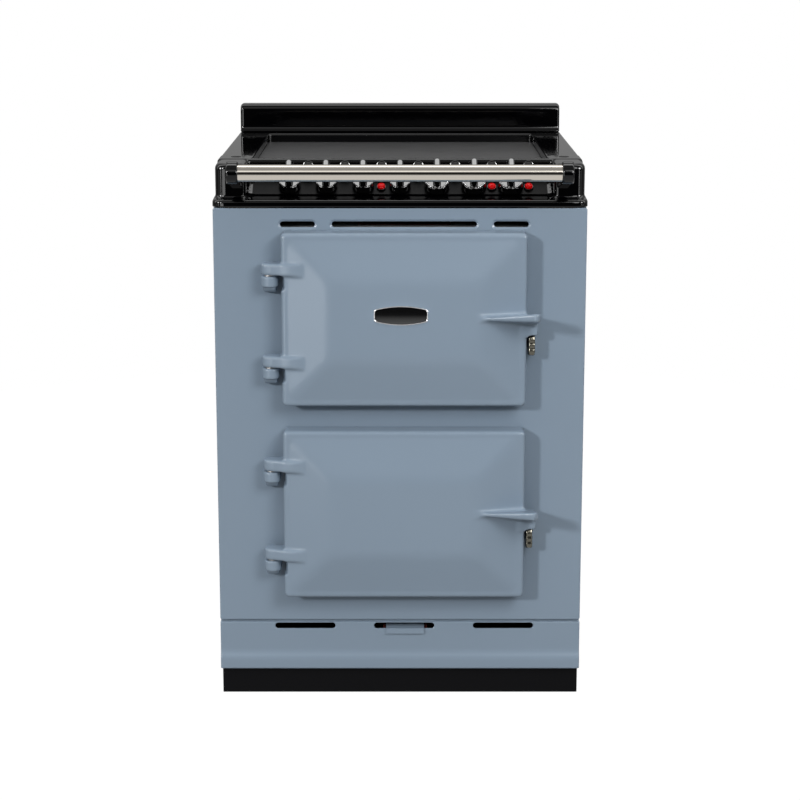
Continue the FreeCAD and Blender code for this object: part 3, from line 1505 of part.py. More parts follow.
def make_slide():
    """Pull-out plate with a turned-down tab, and the guide that it runs in."""
    bottom = slide_z()
    top = bottom + tab_thickness
    stand = ahead(crease_step / 2)
    rear = behind(slide_length)
    plate = box(tab_left, tab_right, stand, rear, bottom, top)
    tab_bottom = lower_slot_z - tab_drop
    tab = front_slab(tab_left, tab_right, stand - tab_thickness, stand, tab_bottom, top, tab_thickness / 2)
    ears = box(tab_left - slide_ear, tab_right + slide_ear, rear - slide_ear_length, rear, bottom, top)
    save("pull_out_plate", [fuse([plate, tab, ears])])

    panel_back = behind(lower_panel_wall)
    floor_top = bottom - slide_play
    floor_z = floor_top - guide_wall
    left = tab_left - slide_ear - slide_play
    right = tab_right + slide_ear + slide_play
    guide_rear = rear + slide_ear_length
    pieces = [box(left - guide_wall, right + guide_wall, panel_back, guide_rear, floor_z, floor_top)]
    for x in (left - guide_wall, right):
        pieces.append(box(x, x + guide_wall, panel_back, guide_rear, floor_z, floor_z + guide_side))
    pieces.append(box(left - guide_wall, right + guide_wall, panel_back, panel_back + guide_wall,
                      floor_z - guide_flange, floor_top))
    stop_y = rear - slide_ear_length - slide_travel - slide_play
    pieces.append(box(left - guide_wall, tab_left - slide_play, stop_y - guide_stop, stop_y,
                      floor_z, floor_z + guide_side))
    pieces.append(box(tab_right + slide_play, right + guide_wall, stop_y - guide_stop, stop_y,
                      floor_z, floor_z + guide_side))
    save("slide_guide", [fuse(pieces)])


def make_terminal_box():
    """Terminal box inside the back panel, with the gland that the supply cable enters by."""
    inner = behind(body_depth - back_sheet)
    half_w = terminal_width / 2
    half_h = terminal_height / 2
    body = front_slab(terminal_x - half_w, terminal_x + half_w, inner - terminal_depth, inner,
                      terminal_z - half_h, terminal_z + half_h, terminal_corner)
    wall = sheet
    hollow = box(terminal_x - half_w + wall, terminal_x + half_w - wall, inner - terminal_depth + wall,
                 inner - wall, terminal_z - half_h + wall, terminal_z + half_h - wall)
    axis_start = V(terminal_x, inner - wall - gland_inner_length, terminal_z)
    axis_end = V(terminal_x, behind(body_depth), terminal_z)
    gland = rod(axis_start, axis_end, gland_radius)
    bore = rod(axis_start - V(0, overrun, 0), axis_end + V(0, overrun, 0), gland_bore_radius)
    save("terminal_box", [cut(fuse([cut(body, [hollow]), gland]), [bore])])


def main():
    os.makedirs("parts", exist_ok=True)
    make_plinth()
    make_base()
    make_side_panels()
    make_back_panel()
    make_front_panel()
    make_lower_panel()
    make_deck_and_rails()
    make_top_casting()
    make_top_plugs()
    make_splashback()
    make_hob()
    make_fascia()
    make_controls()
    make_handrail()
    make_door("upper", upper_door_z)
    make_door("lower", lower_door_z)
    make_hinge_lugs()
    make_catches()
    make_badge()
    make_ovens()
    make_grill()
    make_oven_fan()
    make_baffle()
    make_blower()
    make_slide()
    make_terminal_box()
    bounds = Part.makeCompound([shape for name, shape in saved]).BoundBox
    print(len(saved), "sub-parts", bounds)
    for name, shape in saved:
        solids = len(shape.Solids)
        print(name, solids, round(shape.Volume), shape.isValid())


main()
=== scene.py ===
"""Range cooker with two ovens: enamel, castings, knobs and studio around its construction frame."""
import json
import math
from typing import NamedTuple

import bpy
import numpy as np
from bpy.props import FloatProperty, FloatVectorProperty, IntProperty, PointerProperty
from mathutils import Matrix, Vector


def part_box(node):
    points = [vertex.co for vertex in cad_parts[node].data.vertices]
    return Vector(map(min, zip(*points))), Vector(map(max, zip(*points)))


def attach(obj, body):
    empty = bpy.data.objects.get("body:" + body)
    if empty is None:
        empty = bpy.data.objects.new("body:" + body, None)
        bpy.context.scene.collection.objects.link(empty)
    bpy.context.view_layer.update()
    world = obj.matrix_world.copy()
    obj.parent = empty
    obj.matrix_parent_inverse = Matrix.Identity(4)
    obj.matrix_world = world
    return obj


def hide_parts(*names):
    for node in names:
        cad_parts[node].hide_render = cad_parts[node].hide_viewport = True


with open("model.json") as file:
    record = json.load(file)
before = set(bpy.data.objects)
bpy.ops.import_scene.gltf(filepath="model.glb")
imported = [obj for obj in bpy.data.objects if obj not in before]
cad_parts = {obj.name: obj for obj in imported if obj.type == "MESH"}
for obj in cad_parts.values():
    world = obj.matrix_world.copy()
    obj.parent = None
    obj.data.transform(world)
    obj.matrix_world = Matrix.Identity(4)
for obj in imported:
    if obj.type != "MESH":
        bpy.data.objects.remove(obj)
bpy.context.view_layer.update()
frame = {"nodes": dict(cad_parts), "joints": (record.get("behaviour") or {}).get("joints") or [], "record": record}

bl_info = {
    "name": "Range Cooker Bench",
    "version": (1, 0, 0),
    "blender": (4, 5, 0),
    "location": "View3D > Sidebar > Cooker",
    "description": "Casts, enamels and lights a range cooker with two ovens",
    "category": "Object",
}

MM = 0.001
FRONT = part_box("front_panel")[0].y
JOINTS = {joint["name"]: joint for joint in frame["joints"]}
OVEN_KNOBS = ("function_knob", "upper_oven_knob", "lower_oven_knob")
HOB_KNOBS = tuple(f"hob_knob_{number}" for number in range(1, 5))
LIT_KNOBS = ("hob_knob_3", "upper_oven_knob", "lower_oven_knob")
DOORS = ("upper", "lower")
# Inner parts seen through the lower panel's slots. They take a dark reddish brown in place of their own finish:
# painted shade for the dark inside of the slots.
SLOT_SHADE_PARTS = ("blower_housing", "base_tray", "slide_guide")
# A circular fillet of radius 1 needs this much overlap between two fields.
ROUND = 1.17
# Overlaps that round a casting: crisp edge, lip, side, plain edge, and fillet between two forms.
CRISP = 2 * MM
LIP = 3 * MM
SIDE = 3.5 * MM
EDGE = 4 * MM
FILLET = 5 * MM
# How far one form runs into the next, and the mesh step of the small castings.
LAP = 1 * MM
SMALL_STEP = 1.2 * MM
# What gloss mirrors in the studio: degrees up from the front, over the top to the back, and levels.
BANDS = ((-90, 0.2), (-45, 0.6), (-25, 0.9), (-16, 0.8), (-11, 0.04), (12, 0.02), (18, 0.25),
         (25, 0.7), (29, 1.9), (36, 1.9), (41, 0.7), (47, 0.6), (61, 0.42), (77, 0.6),
         (86, 0.35), (96, 0.12), (101, 5.0), (116, 5.0), (124, 0.9), (142, 0.4), (165, 0.4),
         (180, 0.3))
BAND_START = BANDS[0][0]
BAND_LEVEL = max(level for _, level in BANDS)


def tint(red, green, blue):
    """Linear colour of three display values from 0 to 255."""
    shares = [value / 255 for value in (red, green, blue)]
    return tuple(s / 12.92 if s <= 0.04045 else ((s + 0.055) / 1.055) ** 2.4 for s in shares)


def colour_setting(name, description, value):
    return FloatVectorProperty(name=name, description=description, subtype="COLOR", size=3,
                               min=0.0, max=1.0, default=value)


def length_setting(name, description, millimetres):
    return FloatProperty(name=name, description=description, unit="LENGTH",
                         default=millimetres * MM)


def number_setting(name, description, value):
    return FloatProperty(name=name, description=description, default=value)


def angle_setting(name, description, degrees):
    return FloatProperty(name=name, description=description, subtype="ANGLE", unit="ROTATION",
                         default=math.radians(degrees))


class CookerColours(bpy.types.PropertyGroup):
    enamel: colour_setting("Enamel", "Pale enamel of the panels and doors", tint(134, 150, 166))
    black: colour_setting("Black enamel", "Top casting, splashback and brackets", tint(1, 1, 2))
    plinth: colour_setting("Plinth", "Satin black of the plinth", tint(12, 12, 14))
    steel: colour_setting("Steel", "Handrail bar", tint(190, 184, 175))
    chrome: colour_setting("Chrome", "Badge rim and shelves", tint(214, 214, 216))
    lens: colour_setting("Lens", "Red lenses of the neon lamps", tint(186, 0, 2))


class DoorSizes(bpy.types.PropertyGroup):
    wall: length_setting("Wall", "Wall of the casting round the inner panel", 8)
    back: length_setting("Back", "Gap behind the door's rim", 6)
    rim: length_setting("Rim", "How far the rim stands ahead of the front panel", 40)
    border: length_setting("Border", "Width of the flat border round the pillow", 10)
    corner: length_setting("Corner", "Radius of the door's corners", 8)
    rim_round: length_setting("Rim round", "Radius of the rim's front edge", 6)
    crown_inset: length_setting("Crown inset", "From the door's edge to its flat crown", 77)
    ridge: length_setting("Ridge", "Softness of the ridges between the slopes", 16)
    knuckle: length_setting("Knuckle", "Radius of the hinge knuckles", 13.5)
    arm_height: length_setting("Arm height", "Height of a hinge arm", 18.5)
    arm_reach: length_setting("Arm reach", "How far an arm runs over the door", 36)
    arm_rise: length_setting("Arm rise", "How far an arm stands off the rim", 6)
    lug_gap: length_setting("Lug gap", "Gap between an arm and its lug", 2.5)
    lug_height: length_setting("Lug height", "Height of a lug's knuckle", 17)
    lug_foot: length_setting("Lug foot", "How far a lug's foot runs down", 12)
    notch: length_setting("Notch", "Depth of the notches beside the lugs", 5.5)
    notch_margin: length_setting("Notch margin", "Room under a lug in its notch", 5)
    pin_cover: length_setting("Pin cover", "Casting over the end of a pin", 4)
    horn_root: length_setting("Horn root", "Length of the horn's root on the door", 71)
    horn_back: length_setting("Horn back", "How far the horn starts ahead of the panel", 17)
    horn_nose: length_setting("Horn nose", "Size of the horn's bevelled tip", 7)
    horn_start: length_setting("Horn start", "Thickness of the horn where it leaves the face", 5)
    horn_end: length_setting("Horn end", "Thickness of the horn at its free end", 14)
    horn_middle: length_setting("Horn middle", "Middle of the horn over its root", 5.5)
    horn_drop: length_setting("Horn drop", "Root of the horn under the door's middle", 8.7)
    horn_tilt: angle_setting("Horn tilt", "Rise of the horn towards its tip", 13.3)
    leg_ahead: length_setting("Leg ahead", "Front of the leg over the catch", 40)
    leg_drop: length_setting("Leg drop", "Foot of the leg under the door's middle", 24)
    pocket_height: length_setting("Pocket height", "Height of the catch's pocket", 12)
    pocket_ahead: length_setting("Pocket ahead", "Depth of the catch's pocket", 36.5)
    step: length_setting("Step", "Mesh step of the door castings", 2.2)


class TopSizes(bpy.types.PropertyGroup):
    flange: length_setting("Flange", "Height of the casting's flange", 12.5)
    flange_corner: length_setting("Flange corner", "Radius of the flange's front corners", 20)
    wall: length_setting("Wall", "Wall of the top casting", 5)
    pod_front: length_setting("Pod front", "Front of the pods behind the front panel", 25)
    pod_width: length_setting("Pod width", "Width of a pod", 50)
    pod_outer: length_setting("Pod outer corner", "Radius of a pod's outer corner", 18)
    pod_inner: length_setting("Pod inner corner", "Radius of a pod's inner corner", 8)
    pod_round: length_setting("Pod round", "Radius of a pod's top edges", 8)
    slope_start: length_setting("Slope start", "Foot of the control slope", 57.5)
    slope_length: length_setting("Slope length", "Length of the control slope", 42)
    slope_angle: angle_setting("Slope angle", "Rise of the control slope", 34.8)
    fascia: length_setting("Fascia", "Thickness of the fascia on the slope", 2.5)
    well_wall: length_setting("Well wall", "Wall round the hob's well", 4)
    well_corner: length_setting("Well corner", "Radius of the well's corners", 6)
    glass_gap: length_setting("Glass gap", "Gap round the hob glass", 0.5)
    ledge_width: length_setting("Ledge width", "Width of the ledge under the glass", 8)
    ledge: length_setting("Ledge", "Thickness of the ledge under the glass", 3)
    splash_front_round: length_setting("Splash front", "Radius of the splashback's front edge", 10)
    splash_rear_round: length_setting("Splash rear", "Radius of its rear and end edges", 5)
    splash_foot: length_setting("Splash foot", "Radius of the cove at its foot", 11)
    edge_round: length_setting("Edge round", "Radius of the casting's plain edges", 4)
    step: length_setting("Step", "Mesh step of the top castings", 2.4)


class ControlSizes(bpy.types.PropertyGroup):
    hob_grip: length_setting("Hob grip", "Height of a hob knob's grip", 46)
    oven_grip: length_setting("Oven grip", "Height of an oven knob's grip", 49)
    grip_length: length_setting("Grip length", "Length of a knob's grip", 34)
    grip_width: length_setting("Grip width", "Width of a knob's grip", 10)
    skirt: length_setting("Skirt", "Height of a knob's skirt", 13)
    skirt_lip: length_setting("Skirt lip", "Upright edge at the skirt's foot", 3.5)
    gap: length_setting("Gap", "Running gap under a knob", 0.5)
    lamp_offset: length_setting("Lamp offset", "From a knob's middle to its lamp", 29.5)
    lamp_place: length_setting("Lamp place", "Lamp's place up the slope", 19)
    lamp_radius: length_setting("Lamp radius", "Radius of a lens", 6.5)
    lamp_height: length_setting("Lamp height", "Height of a lens", 7)
    lamp_dome: length_setting("Lamp dome", "Rise of a lens's domed end", 2.5)
    bezel_radius: length_setting("Bezel radius", "Radius of a lamp's bezel", 7.8)
    bezel_height: length_setting("Bezel height", "Height of a lamp's bezel", 3)
    marker_radius: length_setting("Marker radius", "Radius of a zone marker", 8.5)
    mark_count: IntProperty(name="Marks", description="Bars round an oven knob's skirt", default=28)
    mark_start: number_setting("First mark", "Place of the first bar in degrees", -225.0)
    mark_step: number_setting("Mark step", "From one bar to the next in degrees", 10.0)
    mark_length: length_setting("Mark length", "Length of a bar", 2.6)
    mark_width: length_setting("Mark width", "Width of a bar", 0.8)
    step: length_setting("Step", "Mesh step of the knobs", 0.9)


class BadgeSizes(bpy.types.PropertyGroup):
    end_height: length_setting("End height", "Height of the badge's upright ends", 19.5)
    rim: length_setting("Rim", "Width of the bright rim", 1.8)
    recess: length_setting("Recess", "Plate's middle behind the rim", 0.5)
    dome: length_setting("Dome", "Fall of the plate to its edge", 1.6)
    step: length_setting("Step", "Mesh step of the badge", 0.45)


class PanelSizes(bpy.types.PropertyGroup):
    wall: length_setting("Wall", "Thickness of the pressed sheet", 3)
    ledge_rise: length_setting("Ledge rise", "Foot of the sloping ledge over the plinth", 19)
    ledge_height: length_setting("Ledge height", "Height of the sloping ledge", 9)
    edge_round: length_setting("Edge round", "Radius of the sheet's folded edges", 1.2)
    slot_length: length_setting("Slot length", "Length of a slot", 100)
    slot_height: length_setting("Slot height", "Height of a slot", 10)
    slot_drop: length_setting("Slot drop", "Middle of the slots under the sheet's top", 6.7)
    slot_spacing: length_setting("Slot spacing", "From one slot to the next", 164.5)
    slot_round: length_setting("Slot round", "Roll of the slots' lips", 1)
    tab_shift: length_setting("Tab shift", "Middle slot against the pull-out plate's middle", -1.5)
    seam_gap: length_setting("Seam gap", "Gap over the flange behind the seam", 0.4)
    seam_depth: length_setting("Seam depth", "Depth of the seam", 5)
    step: length_setting("Step", "Mesh step of the panel", 1.3)


class StudioSettings(bpy.types.PropertyGroup):
    distance: length_setting("Distance", "From the front panel to the camera", 2975)
    height: length_setting("Height", "Height of the camera", 1248)
    pitch: angle_setting("Pitch", "How far the camera looks down", 11.07)
    lens: number_setting("Lens", "Focal length in millimetres", 84.75)
    shift: number_setting("Shift", "Upright shift of the camera", -0.12)
    key_watts: number_setting("Key", "Power of the key light", 148.0)
    strip_watts: number_setting("Strips", "Power of the strips that gloss mirrors", 60.0)
    edge_watts: number_setting("Edge strips", "Power of the low strips that edges mirror", 2.4)
    fill_watts: number_setting("Right fill", "Power of the soft light from the right", 17.0)
    sheen_watts: number_setting("Left sheen", "Power of the light that left slopes mirror", 21.0)
    fill_low: number_setting("Low fill", "Soft light from the floor's level", 0.02)
    fill_high: number_setting("High fill", "Soft light from overhead", 1.1)
    floor_size: length_setting("Floor", "Radius of the floor", 2200)
    floor_segments: IntProperty(name="Floor segments", description="Edges of the floor", default=96)


def soft_max(first, second, blend):
    """Larger of two fields, with a rounded change from one to the other."""
    overlap = np.clip(blend - np.abs(first - second), 0.0, None)
    return np.maximum(first, second) + overlap ** 2 / (4 * blend)


def soft_min(first, second, blend):
    """Smaller of two fields, with a rounded change from one to the other."""
    return -soft_max(-first, -second, blend)


def between(value, low, high):
    """Distance out of a slab between two planes."""
    return np.maximum(low - value, value - high)


def rounded_plan(across, along, low, high, corner):
    """Distance out of a rectangle with round corners."""
    over_a = between(across, low[0] + corner, high[0] - corner)
    over_b = between(along, low[1] + corner, high[1] - corner)
    outside = np.hypot(np.maximum(over_a, 0), np.maximum(over_b, 0))
    return outside + np.minimum(np.maximum(over_a, over_b), 0) - corner


def crossing_points(values, axes, axis):
    """Where the field changes sign along one axis of the grid, and the points of the crossings."""
    low = np.take(values, range(values.shape[axis] - 1), axis=axis)
    high = np.take(values, range(1, values.shape[axis]), axis=axis)
    crossed = (low < 0) != (high < 0)
    cells = np.argwhere(crossed)
    share = (low / np.where(crossed, low - high, 1.0))[crossed]
    points = np.stack([axes[i][cells[:, i]] for i in range(3)], axis=1)
    points[:, axis] += share * (axes[axis][1] - axes[axis][0])
    return cells, points, low[crossed] < 0


# How points settle on a surface: rounds, probe and longest move in mesh steps, and least slope.
SETTLE_ROUNDS = 3
PROBE = 0.02
LONGEST_MOVE = 0.5
LEAST_SLOPE = 0.2
TINY = 1e-12
# Empty mesh steps round the box in which a surface is cast.
MARGIN = 2


def settle(points, field, step):
    """Moves points onto the surface where the field is zero, by small moves."""
    small = step * PROBE
    for _ in range(SETTLE_ROUNDS):
        value = field(*points.T)
        slope = np.stack([(field(*(points + shift).T) - field(*(points - shift).T)) / (2 * small)
                          for shift in np.eye(3) * small], axis=1)
        length = np.maximum((slope ** 2).sum(axis=1), LEAST_SLOPE)
        move = -slope * (value / length)[:, None]
        size = np.linalg.norm(move, axis=1)
        move *= np.minimum(1.0, step * LONGEST_MOVE / np.maximum(size, TINY))[:, None]
        points = points + move
    return points


def new_mesh(name, verts, faces):
    """Checked mesh of points and faces."""
    mesh = bpy.data.meshes.new(name)
    mesh.from_pydata(verts, [], faces)
    mesh.validate()
    return mesh


def cast(name, field, low, high, step):
    """Smooth mesh of the surface round a field's negative side, in a box from low to high."""
    axes = [np.arange(a - MARGIN * step, b + (MARGIN + 1) * step, step)
            for a, b in zip(low, high)]
    values = field(*np.meshgrid(*axes, indexing="ij"))
    shape = np.array(values.shape) - 1
    total = np.zeros((int(shape.prod()), 3))
    hits = np.zeros(int(shape.prod()))
    quads = []
    for axis in range(3):
        cells, points, outward = crossing_points(values, axes, axis)
        second, third = (axis + 1) % 3, (axis + 2) % 3
        corners = []
        for back_second, back_third in ((1, 1), (0, 1), (0, 0), (1, 0)):
            cell = cells.copy()
            cell[:, second] -= back_second
            cell[:, third] -= back_third
            flat = np.ravel_multi_index(tuple(cell.T), tuple(shape))
            np.add.at(total, flat, points)
            np.add.at(hits, flat, 1)
            corners.append(flat)
        faces = np.stack(corners, axis=1)
        faces[~outward] = faces[~outward][:, ::-1]
        quads.append(faces)
    used = np.flatnonzero(hits)
    places = settle(total[used] / hits[used, None], field, step)
    order = np.zeros(len(hits), dtype=int)
    order[used] = np.arange(len(used))
    return new_mesh(name, places.tolist(), order[np.concatenate(quads)].tolist())


# Share of its radius that a fluted point keeps at least.
LEAST_REACH = 0.2


def lathe(name, outline, segments, place, flutes=0, flute_depth=0.0):
    """Turned mesh of an outline of (radius, height) points, with optional flutes on its side."""
    angles = [2 * math.pi * index / segments for index in range(segments)]
    verts = []
    for radius, height in outline:
        for angle in angles:
            flute = flute_depth * (0.5 + 0.5 * math.cos(flutes * angle))
            reach = max(radius - flute, radius * LEAST_REACH)
            verts.append(place @ Vector((reach * math.cos(angle), reach * math.sin(angle), height)))
    faces = []
    for ring in range(len(outline) - 1):
        for index in range(segments):
            following = (index + 1) % segments
            faces.append((ring * segments + index, ring * segments + following,
                          (ring + 1) * segments + following, (ring + 1) * segments + index))
    faces.append(tuple(range(segments))[::-1])
    last = (len(outline) - 1) * segments
    faces.append(tuple(last + index for index in range(segments)))
    return new_mesh(name, [tuple(vert) for vert in verts], faces)


def join_meshes(name, meshes):
    """One mesh of several."""
    verts = []
    faces = []
    for mesh in meshes:
        first = len(verts)
        verts += [tuple(vertex.co) for vertex in mesh.vertices]
        faces += [tuple(first + index for index in polygon.vertices) for polygon in mesh.polygons]
        bpy.data.meshes.remove(mesh)
    return new_mesh(name, verts, faces)


def add_node(tree, kind, feeds=(), **settings):
    """Node with its settings, its inputs fed by other sockets or set to plain values."""
    node = tree.nodes.new(kind)
    for name, value in settings.items():
        setattr(node, name, value)
    for label, value in dict(feeds).items():
        if isinstance(value, bpy.types.NodeSocket):
            tree.links.new(value, node.inputs[label])
        else:
            node.inputs[label].default_value = value
    return node


def sum_of(tree, operation, *values, clamp=False):
    """Result of a Math node on sockets and plain numbers."""
    return add_node(tree, "ShaderNodeMath", dict(enumerate(values)), operation=operation,
                    use_clamp=clamp).outputs[0]


def mix_shaders(tree, share, first, second):
    """Second shader where the share is 1, first where it is 0."""
    return add_node(tree, "ShaderNodeMixShader", {0: share, 1: first, 2: second}).outputs[0]


def ray_mask(tree, *kinds):
    """1 for rays of the named kinds."""
    path = add_node(tree, "ShaderNodeLightPath")
    mask = path.outputs[f"Is {kinds[0]} Ray"]
    for kind in kinds[1:]:
        mask = sum_of(tree, "MAXIMUM", mask, path.outputs[f"Is {kind} Ray"])
    return mask


def new_group(name, inputs, outputs):
    """Shader node group with named sockets, and its input and output nodes."""
    tree = bpy.data.node_groups.new(name, "ShaderNodeTree")
    for label, kind, value in inputs:
        socket = tree.interface.new_socket(name=label, in_out="INPUT", socket_type=kind)
        socket.default_value = value
    for label, kind in outputs:
        tree.interface.new_socket(name=label, in_out="OUTPUT", socket_type=kind)
    return tree, tree.nodes.new("NodeGroupInput"), tree.nodes.new("NodeGroupOutput")


def noise_at(tree, scale_socket, detail, stretch=(1.0, 1.0, 1.0)):
    """Noise over the object, stretched along its axes."""
    place = add_node(tree, "ShaderNodeTexCoord").outputs["Object"]
    mapping = add_node(tree, "ShaderNodeMapping", {"Vector": place, "Scale": stretch})
    noise = add_node(tree, "ShaderNodeTexNoise", {
        "Vector": mapping.outputs["Vector"], "Scale": scale_socket, "Detail": detail})
    return noise.outputs["Fac"]


def tone_drift_group():
    """Slow change of tone that a fired or cast surface has."""
    tree, entry, leave = new_group(
        "tone_drift",
        [("Colour", "NodeSocketColor", (0.5, 0.5, 0.5, 1.0)), ("Scale", "NodeSocketFloat", 5.0),
         ("Amount", "NodeSocketFloat", 0.03)],
        [("Colour", "NodeSocketColor")])
    noise = noise_at(tree, entry.outputs["Scale"], detail=3.0)
    centred = sum_of(tree, "SUBTRACT", noise, 0.5)
    value = sum_of(tree, "MULTIPLY_ADD", centred, entry.outputs["Amount"], 1.0)
    tone = add_node(tree, "ShaderNodeHueSaturation",
                    {"Value": value, "Color": entry.outputs["Colour"]})
    tree.links.new(tone.outputs["Color"], leave.inputs["Colour"])
    return tree


def surface_ripple_group(name, stretch):
    """Fine waves in a surface, as a normal."""
    tree, entry, leave = new_group(
        name, [("Scale", "NodeSocketFloat", 300.0), ("Depth", "NodeSocketFloat", 0.0001)],
        [("Normal", "NodeSocketVector")])
    bump = add_node(tree, "ShaderNodeBump", {
        "Height": noise_at(tree, entry.outputs["Scale"], detail=2.0, stretch=stretch),
        "Distance": entry.outputs["Depth"], "Strength": 1.0})
    tree.links.new(bump.outputs["Normal"], leave.inputs["Normal"])
    return tree


def smear_group():
    """Roughness that varies in soft patches, as a wiped surface has."""
    tree, entry, leave = new_group(
        "smear", [("Roughness", "NodeSocketFloat", 0.3), ("Amount", "NodeSocketFloat", 0.1),
                  ("Scale", "NodeSocketFloat", 25.0)],
        [("Roughness", "NodeSocketFloat")])
    noise = noise_at(tree, entry.outputs["Scale"], detail=5.0)
    patches = sum_of(tree, "MULTIPLY", noise, entry.outputs["Amount"])
    total = sum_of(tree, "ADD", patches, entry.outputs["Roughness"], clamp=True)
    tree.links.new(total, leave.inputs["Roughness"])
    return tree


EFFECTS = {
    "tone_drift": tone_drift_group,
    "smear": smear_group,
    "orange_peel": lambda: surface_ripple_group("orange_peel", (1.0, 1.0, 1.0)),
    "brushed": lambda: surface_ripple_group("brushed", (1.0, 40.0, 40.0)),
}


def effect(tree, name, **values):
    """Shared effect placed in a material with its own values."""
    group = bpy.data.node_groups.get(name) or EFFECTS[name]()
    node = add_node(tree, "ShaderNodeGroup", node_tree=group)
    for label, value in values.items():
        node.inputs[label.capitalize()].default_value = value
    return node


def finish(title, colour, roughness, metallic=0.0, specular=0.5, coat=0.0, drift=0.04,
           drift_scale=5.0, ripple="orange_peel", ripple_scale=300.0, ripple_depth=0.0, smear=0.08,
           glow=0.0):
    """Finish of one kind of surface, from the shared effects and its own values."""
    material = bpy.data.materials.new(title)
    material.use_nodes = True
    tree = material.node_tree
    shader = tree.nodes["Principled BSDF"]
    shader.inputs["Metallic"].default_value = metallic
    shader.inputs["Specular IOR Level"].default_value = specular
    shader.inputs["Coat Weight"].default_value = coat
    shader.inputs["Coat Roughness"].default_value = roughness / 2
    tone = effect(tree, "tone_drift", colour=(*colour, 1.0), scale=drift_scale, amount=drift)
    tree.links.new(tone.outputs["Colour"], shader.inputs["Base Color"])
    wiped = effect(tree, "smear", roughness=roughness, amount=smear)
    tree.links.new(wiped.outputs["Roughness"], shader.inputs["Roughness"])
    if ripple_depth:
        waves = effect(tree, ripple, scale=ripple_scale, depth=ripple_depth)
        tree.links.new(waves.outputs["Normal"], shader.inputs["Normal"])
    if glow:
        shader.inputs["Emission Color"].default_value = (*colour, 1.0)
        shader.inputs["Emission Strength"].default_value = glow
    return material


# Finish of each material slot: colour or the setting that holds it, roughness, and the rest.
FINISHES = {
    "enamel_panels": ("enamel", 0.2, dict(specular=0.2, drift=0.03, ripple_scale=160.0,
                                          ripple_depth=0.03 * MM, smear=0.06)),
    "enamel_castings": ("enamel", 0.2, dict(specular=0.2, drift=0.05, ripple_scale=120.0,
                                            ripple_depth=0.03 * MM, smear=0.06)),
    "slide_plate": ("enamel", 0.2, dict(specular=0.2, smear=0.06)),
    "black_enamel": ("black", 0.05, dict(specular=0.25, ripple_scale=120.0,
                                         ripple_depth=0.05 * MM, smear=0.03)),
    "black_plinth": ("plinth", 0.42, dict(specular=0.05, ripple_scale=900.0,
                                          ripple_depth=0.05 * MM)),
    "black_glass": (tint(46, 46, 47), 0.34, dict(specular=0.6, smear=0.1)),
    "black_fascia": (tint(2, 2, 3), 0.3, dict(specular=0.05, ripple_scale=1500.0,
                                              ripple_depth=0.02 * MM)),
    "knob_black": (tint(3, 3, 4), 0.05, dict(specular=0.7, coat=0.4, smear=0.03)),
    "bezel_black": (tint(10, 10, 11), 0.2, {}),
    "badge_black": (tint(6, 6, 7), 0.08, dict(coat=0.5)),
    "marker_grey": (tint(12, 12, 13), 0.1, dict(specular=0.8)),
    # Dark reddish brown of the parts behind the slots: painted shade, not their own finish.
    "dark_inside": (tint(62, 18, 14), 0.7, dict(specular=0.1)),
    "lamp_red": ("lens", 0.2, dict(specular=0.15, drift=0.3, drift_scale=500.0, glow=0.3)),
    "rail_steel": ("steel", 0.05, dict(metallic=1.0, ripple="brushed", ripple_scale=18.0,
                                       ripple_depth=0.01 * MM, smear=0.05)),
    "badge_chrome": ("chrome", 0.1, dict(metallic=1.0)),
    "shelf_chrome": ("chrome", 0.1, dict(metallic=1.0)),
    "nickel": (tint(92, 90, 82), 0.16, dict(metallic=1.0, ripple_scale=600.0,
                                            ripple_depth=0.03 * MM)),
    "pin_steel": (tint(150, 148, 145), 0.3, dict(metallic=1.0, smear=0.2)),
    "zinc_sheet": (tint(172, 176, 178), 0.38, dict(metallic=1.0, drift=0.3, drift_scale=40.0,
                                                   smear=0.25)),
    "element_steel": (tint(92, 84, 76), 0.45, dict(metallic=1.0, drift=0.3, drift_scale=60.0)),
    "fan_metal": (tint(150, 152, 156), 0.32, dict(metallic=1.0, drift=0.15, drift_scale=30.0)),
    "oven_enamel": (tint(24, 26, 32), 0.22, dict(drift=0.2, drift_scale=60.0, ripple_scale=200.0,
                                                 ripple_depth=0.1 * MM, smear=0.15)),
    "mineral_wool": (tint(196, 182, 140), 0.9, dict(drift=0.4, drift_scale=90.0,
                                                    ripple_scale=500.0, ripple_depth=1 * MM)),
    "glass_rope": (tint(140, 136, 126), 0.8, dict(drift=0.4, drift_scale=300.0,
                                                  ripple_scale=900.0, ripple_depth=0.6 * MM)),
}
PLAIN_FINISH = (tint(44, 44, 46), 0.5, dict(drift=0.1))


def finish_for(slot):
    """Finish of a material slot of the frame's record, made once."""
    title = f"{slot}_finish"
    made = bpy.data.materials.get(title)
    if made:
        return made
    colour, roughness, rest = FINISHES.get(slot, PLAIN_FINISH)
    if isinstance(colour, str):
        colour = getattr(bpy.context.scene.cooker_colours, colour)
    return finish(title, colour, roughness, **rest)


def as_piece(mesh, body, slot, *replaced):
    """Object for a mesh that rides on a body, has a slot's finish and stands for CAD nodes."""
    piece = bpy.data.objects.new(mesh.name, mesh)
    bpy.context.scene.collection.objects.link(piece)
    mesh.materials.append(finish_for(slot))
    mesh.polygons.foreach_set("use_smooth", [True] * len(mesh.polygons))
    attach(piece, body)
    if replaced:
        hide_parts(*replaced)
    return piece


